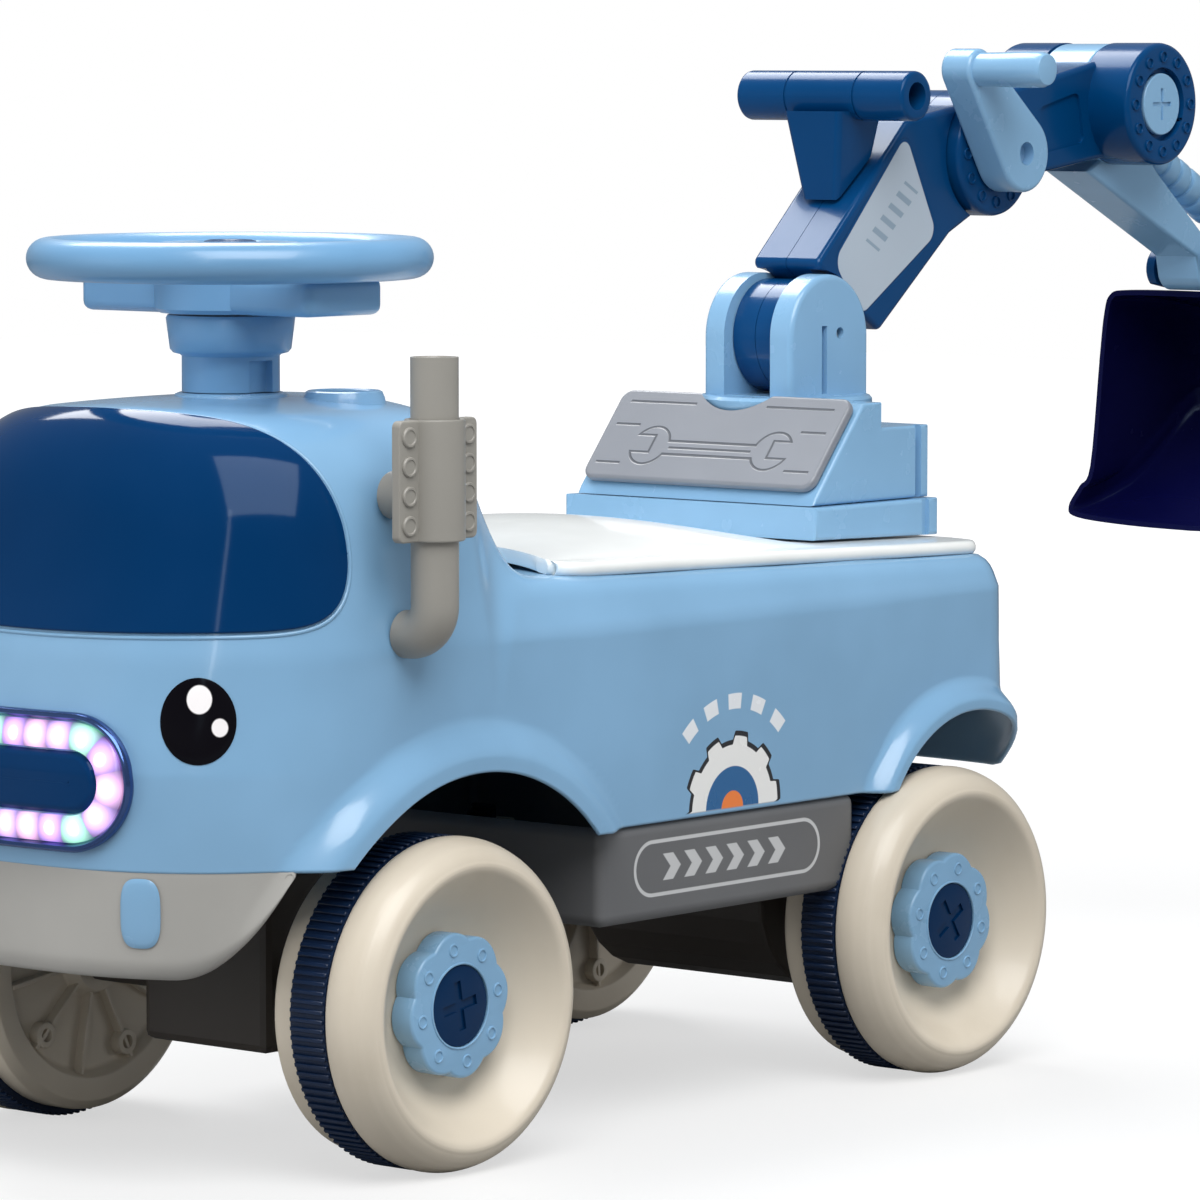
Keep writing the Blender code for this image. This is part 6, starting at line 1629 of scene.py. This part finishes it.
# %% Forearm and piston
HUB_HALF = KNUCKLE_HALF - 0.0003
hub = drum(OUTER, -HUB_HALF, HUB_HALF, KNUCKLE_R - 0.0005, 0.0015)
beam_outline = [(0.478, 0.4475), (0.583, 0.3985)] + arc(BUCKET_PIVOT, 0.0120, 200.0, 390.0, 25)
beam_outline += [(0.545, 0.446), (0.520, 0.470)]
forearm = plate(beam_outline, -HUB_HALF + 0.001, HUB_HALF - 0.001, 0.0022, 4)
forearm = cut(hub, ("UNION", forearm), rod("X", -0.08, 0.08, PIN_R + 0.0005, OUTER, 40),
              rod("X", -0.08, 0.08, PIN_R - 0.0005, BUCKET_PIVOT, 40))
piece("forearm_moulding", forearm, sky_plastic, "forearm", ["forearm"])
first, last = Vector((0.5420, 0.4619)), Vector(BUCKET_PIVOT) + Vector((0.0200, 0.0330))
stroke = (last - first).length
RIBS = 7
pitch = stroke / RIBS
core = rod("Z", 0.0, stroke, 0.0084, (0.0, 0.0), 48, 0.0006)
band = turned([(0.0080, 0.10 * pitch), (0.0097, 0.14 * pitch), (0.0105, 0.26 * pitch), (0.0105, 0.74 * pitch),
               (0.0097, 0.86 * pitch), (0.0080, 0.90 * pitch)], 48)
piston = joined(core, repeated(band, RIBS, step=(0.0, 0.0, pitch)))
heading = math.atan2(last.x - first.x, last.y - first.y)
piston.transform(Matrix.Translation((0.0, first.x, first.y)) @ Matrix.Rotation(-heading, 4, "X"))
piece("piston_bellows", piston, sky_plastic, "forearm", ["piston"])

# %% Bucket
BUCKET_FRONT, BUCKET_DEEP, BUCKET_TOP, BUCKET_LIP, BACK_ROUND = 0.600, 0.092, 0.378, 0.247, 0.0098


def bucket_section(share):
    """The scoop's outline at a share of its depth, from the top middle round to the lip's middle."""
    top = BUCKET_TOP - 0.010 * share ** 2
    low = BUCKET_LIP + 0.052 * share ** 1.5
    wide = 0.070 - 0.008 * share
    lip_half = wide + 0.015 * max(0.0, 1.0 - 2.2 * share)
    high = wide - 0.009
    neck = low + 0.030 - 0.010 * share
    corners = [(0.0, top), (high - 0.016, top), (high - 0.004, top - 0.003), (high, top - 0.014),
               (high + 0.003, top - 0.040),
               (wide, neck), ((wide + lip_half) / 2, (neck + low + 0.006) / 2), (lip_half, low + 0.006),
               (lip_half - 0.006, low), (lip_half * 0.5, low - 0.003), (0.0, low - 0.004)]
    return smooth_path(corners, 5)


def bucket_grid():
    rows = []
    for share in (0.0, 0.04, 0.10, 0.2, 0.3, 0.42, 0.54, 0.66, 0.78, 0.88, 0.95, 1.0):
        section = bucket_section(share)
        squeeze = 1.0 if share < 0.8 else 1.0 - 0.10 * ((share - 0.8) / 0.2) ** 2
        middle = section.mean(axis=0) * (0.0, 1.0)
        section = middle + (section - middle) * squeeze
        rows.append([(x, BUCKET_FRONT + (BUCKET_DEEP - BACK_ROUND) * share, z) for x, z in section])
    last_row = rows[-1]
    middle_z = float(np.mean([z for _, _, z in last_row]))
    for squeeze, back in ((0.93, 0.0035), (0.82, 0.0060), (0.6, 0.0082), (0.3, 0.0095), (0.0, 0.0098)):
        rows.append([(x * squeeze, BUCKET_FRONT + BUCKET_DEEP - BACK_ROUND + back,
                      middle_z + (z - middle_z) * squeeze)
                     for x, _, z in last_row])
    half = np.array(rows)
    half[:, [0, -1], 0] = 0.0
    return np.concatenate([half, half[:, -2:0:-1] * (-1.0, 1.0, 1.0)], axis=1)


def scoop_mesh():
    points = bucket_grid()
    centre = np.array([0.0, BUCKET_FRONT + 0.04, 0.31])
    round_way = np.roll(points, -1, axis=1) - np.roll(points, 1, axis=1)
    normals = unit(np.cross(round_way, np.gradient(points, axis=0)))
    normals *= np.where(((points - centre) * normals).sum(axis=2) < 0.0, -1.0, 1.0)[..., None]
    normals[-1] = (0.0, 1.0, 0.0)
    inner = points - normals * WALL
    inner[0, :, 1] = points[0, :, 1]
    rim = np.array([points[0], inner[0]])
    return grid_mesh([(points, False, True), (inner, False, True), (rim, False, True)])


scoop_finish = plastic("scoop_finish", srgb(8, 10, 62), 0.25, ripple=0.12, shine=0.3)
piece("bucket_scoop", scoop_mesh(), scoop_finish, "bucket", ["bucket"], weigh=False)
EAR_GAP = KNUCKLE_HALF + 0.0006
floor_z = BUCKET_TOP + 0.0006
bracket_outline = [(0.610, floor_z), (0.655, floor_z), (0.655, floor_z + 0.006), (0.625, 0.404)]
bracket_outline += arc(BUCKET_PIVOT, 0.0115, 80.0, 230.0, 21)
bracket = cut(plate(bracket_outline, -EAR_GAP - 0.006, EAR_GAP + 0.006, 0.0016, 3),
              block((-EAR_GAP, 0.55, 0.30), (EAR_GAP, 0.6260, 0.45)),
              rod("X", -0.06, 0.06, 0.0050, BUCKET_PIVOT, 32))
piece("bucket_clevis", bracket, deep_plastic, "bucket", ["bucket_bracket"])

# %% [markdown]
# ## Floor, light and camera
# A plain pale floor and large soft lights show glossy plastic best. Two overhead lights give broad clean
# highlights, two cards that don't mirror open the shadows, and a narrow strip draws one line on the screen.
# The floor glows for the camera only, so it looks white without lighting the toy from below.

# %% The stage


FLOOR_HALF = 6.0


def floor():
    mesh = bpy.data.meshes.new("floor")
    corners = [(-FLOOR_HALF, -FLOOR_HALF, 0.0), (FLOOR_HALF, -FLOOR_HALF, 0.0), (FLOOR_HALF, FLOOR_HALF, 0.0),
               (-FLOOR_HALF, FLOOR_HALF, 0.0)]
    mesh.from_pydata(corners, [], [(0, 1, 2, 3)])
    material, tree, shader = new_material("floor")
    shader.inputs["Base Color"].default_value = (0.30, 0.30, 0.30, 1.0)
    shader.inputs["Roughness"].default_value = 0.6
    x, y, _ = any_node(tree, "ShaderNodeTexCoord", None, None, 3).parts()
    glow = 0.62 + (x * x + y * y).root().ramp(0.5, 3.0) * 0.38
    lit = blend_colour(tree, glow, (0.0, 0.0, 0.0), (1.0, 1.0, 1.0))
    bright = any_node(tree, "ShaderNodeEmission", None, {"Color": lit, "Strength": 1.0})
    plain = Socket(tree, shader.outputs[0])
    pale = any_node(tree, "ShaderNodeAddShader", None, {0: plain, 1: bright})
    seen = any_node(tree, "ShaderNodeLightPath")
    mixed = any_node(tree, "ShaderNodeMixShader", None, {0: seen, 1: plain, 2: pale})
    tree.links.new(mixed.socket, tree.nodes["Material Output"].inputs["Surface"])
    mesh.materials.append(material)
    made = bpy.data.objects.new("floor", mesh)
    scene.collection.objects.link(made)


def softbox(name, place, aim, size, power, mirrored=True):
    light = bpy.data.lights.new(name, "AREA")
    light.shape, light.size, light.size_y = "RECTANGLE", *size
    light.energy = power
    lamp = bpy.data.objects.new(name, light)
    lamp.location, lamp.visible_glossy = place, mirrored
    lamp.rotation_euler = (Vector(aim) - Vector(place)).to_track_quat("-Z", "Y").to_euler()
    scene.collection.objects.link(lamp)


floor()
softbox("overhead_far", (-1.15, 0.45, 2.0), (0.0, 0.0, 0.25), (1.2, 1.2), 36.0)
softbox("overhead_near", (1.2, -1.1, 2.2), (0.0, 0.0, 0.25), (1.9, 1.9), 66.0)
softbox("card_rear_left", (2.4, 2.5, 0.9), (0.0, 0.0, 0.25), (2.2, 1.6), 24.0, mirrored=False)
softbox("card_front_right", (-1.7, -2.7, 0.8), (0.0, -0.2, 0.25), (2.2, 1.4), 28.0, mirrored=False)
softbox("strip_front_left", (1.5, -2.9, 1.3), (0.0, -0.3, 0.25), (0.1, 1.7), 3.0)
world = bpy.data.worlds.new("studio")
scene.world = world
world.use_nodes = True
sky = world.node_tree
dim, plain = sky.nodes["Background"], sky.nodes.new("ShaderNodeBackground")
dim.inputs["Color"].default_value, dim.inputs["Strength"].default_value = (0.9, 0.95, 1.0, 1.0), 0.27
plain.inputs["Color"].default_value, plain.inputs["Strength"].default_value = (1.0, 1.0, 1.0, 1.0), 1.0
path, choice = sky.nodes.new("ShaderNodeLightPath"), sky.nodes.new("ShaderNodeMixShader")
for source, target in ((path.outputs["Is Camera Ray"], choice.inputs[0]), (dim.outputs[0], choice.inputs[1]),
                       (plain.outputs[0], choice.inputs[2]),
                       (choice.outputs[0], sky.nodes["World Output"].inputs[0])):
    sky.links.new(source, target)
scene.view_settings.view_transform = "Standard"

camera = bpy.data.cameras.new("camera")
camera.lens, camera.sensor_width, camera.clip_end = 189.96, 36.0, 30.0
eye = bpy.data.objects.new("camera", camera)
eye.location = (2.04285, -2.52307, 0.51404)
eye.rotation_euler = (math.radians(85.03), 0.0, math.radians(40.11))
scene.collection.objects.link(eye)
scene.camera = eye
print("stage ready")
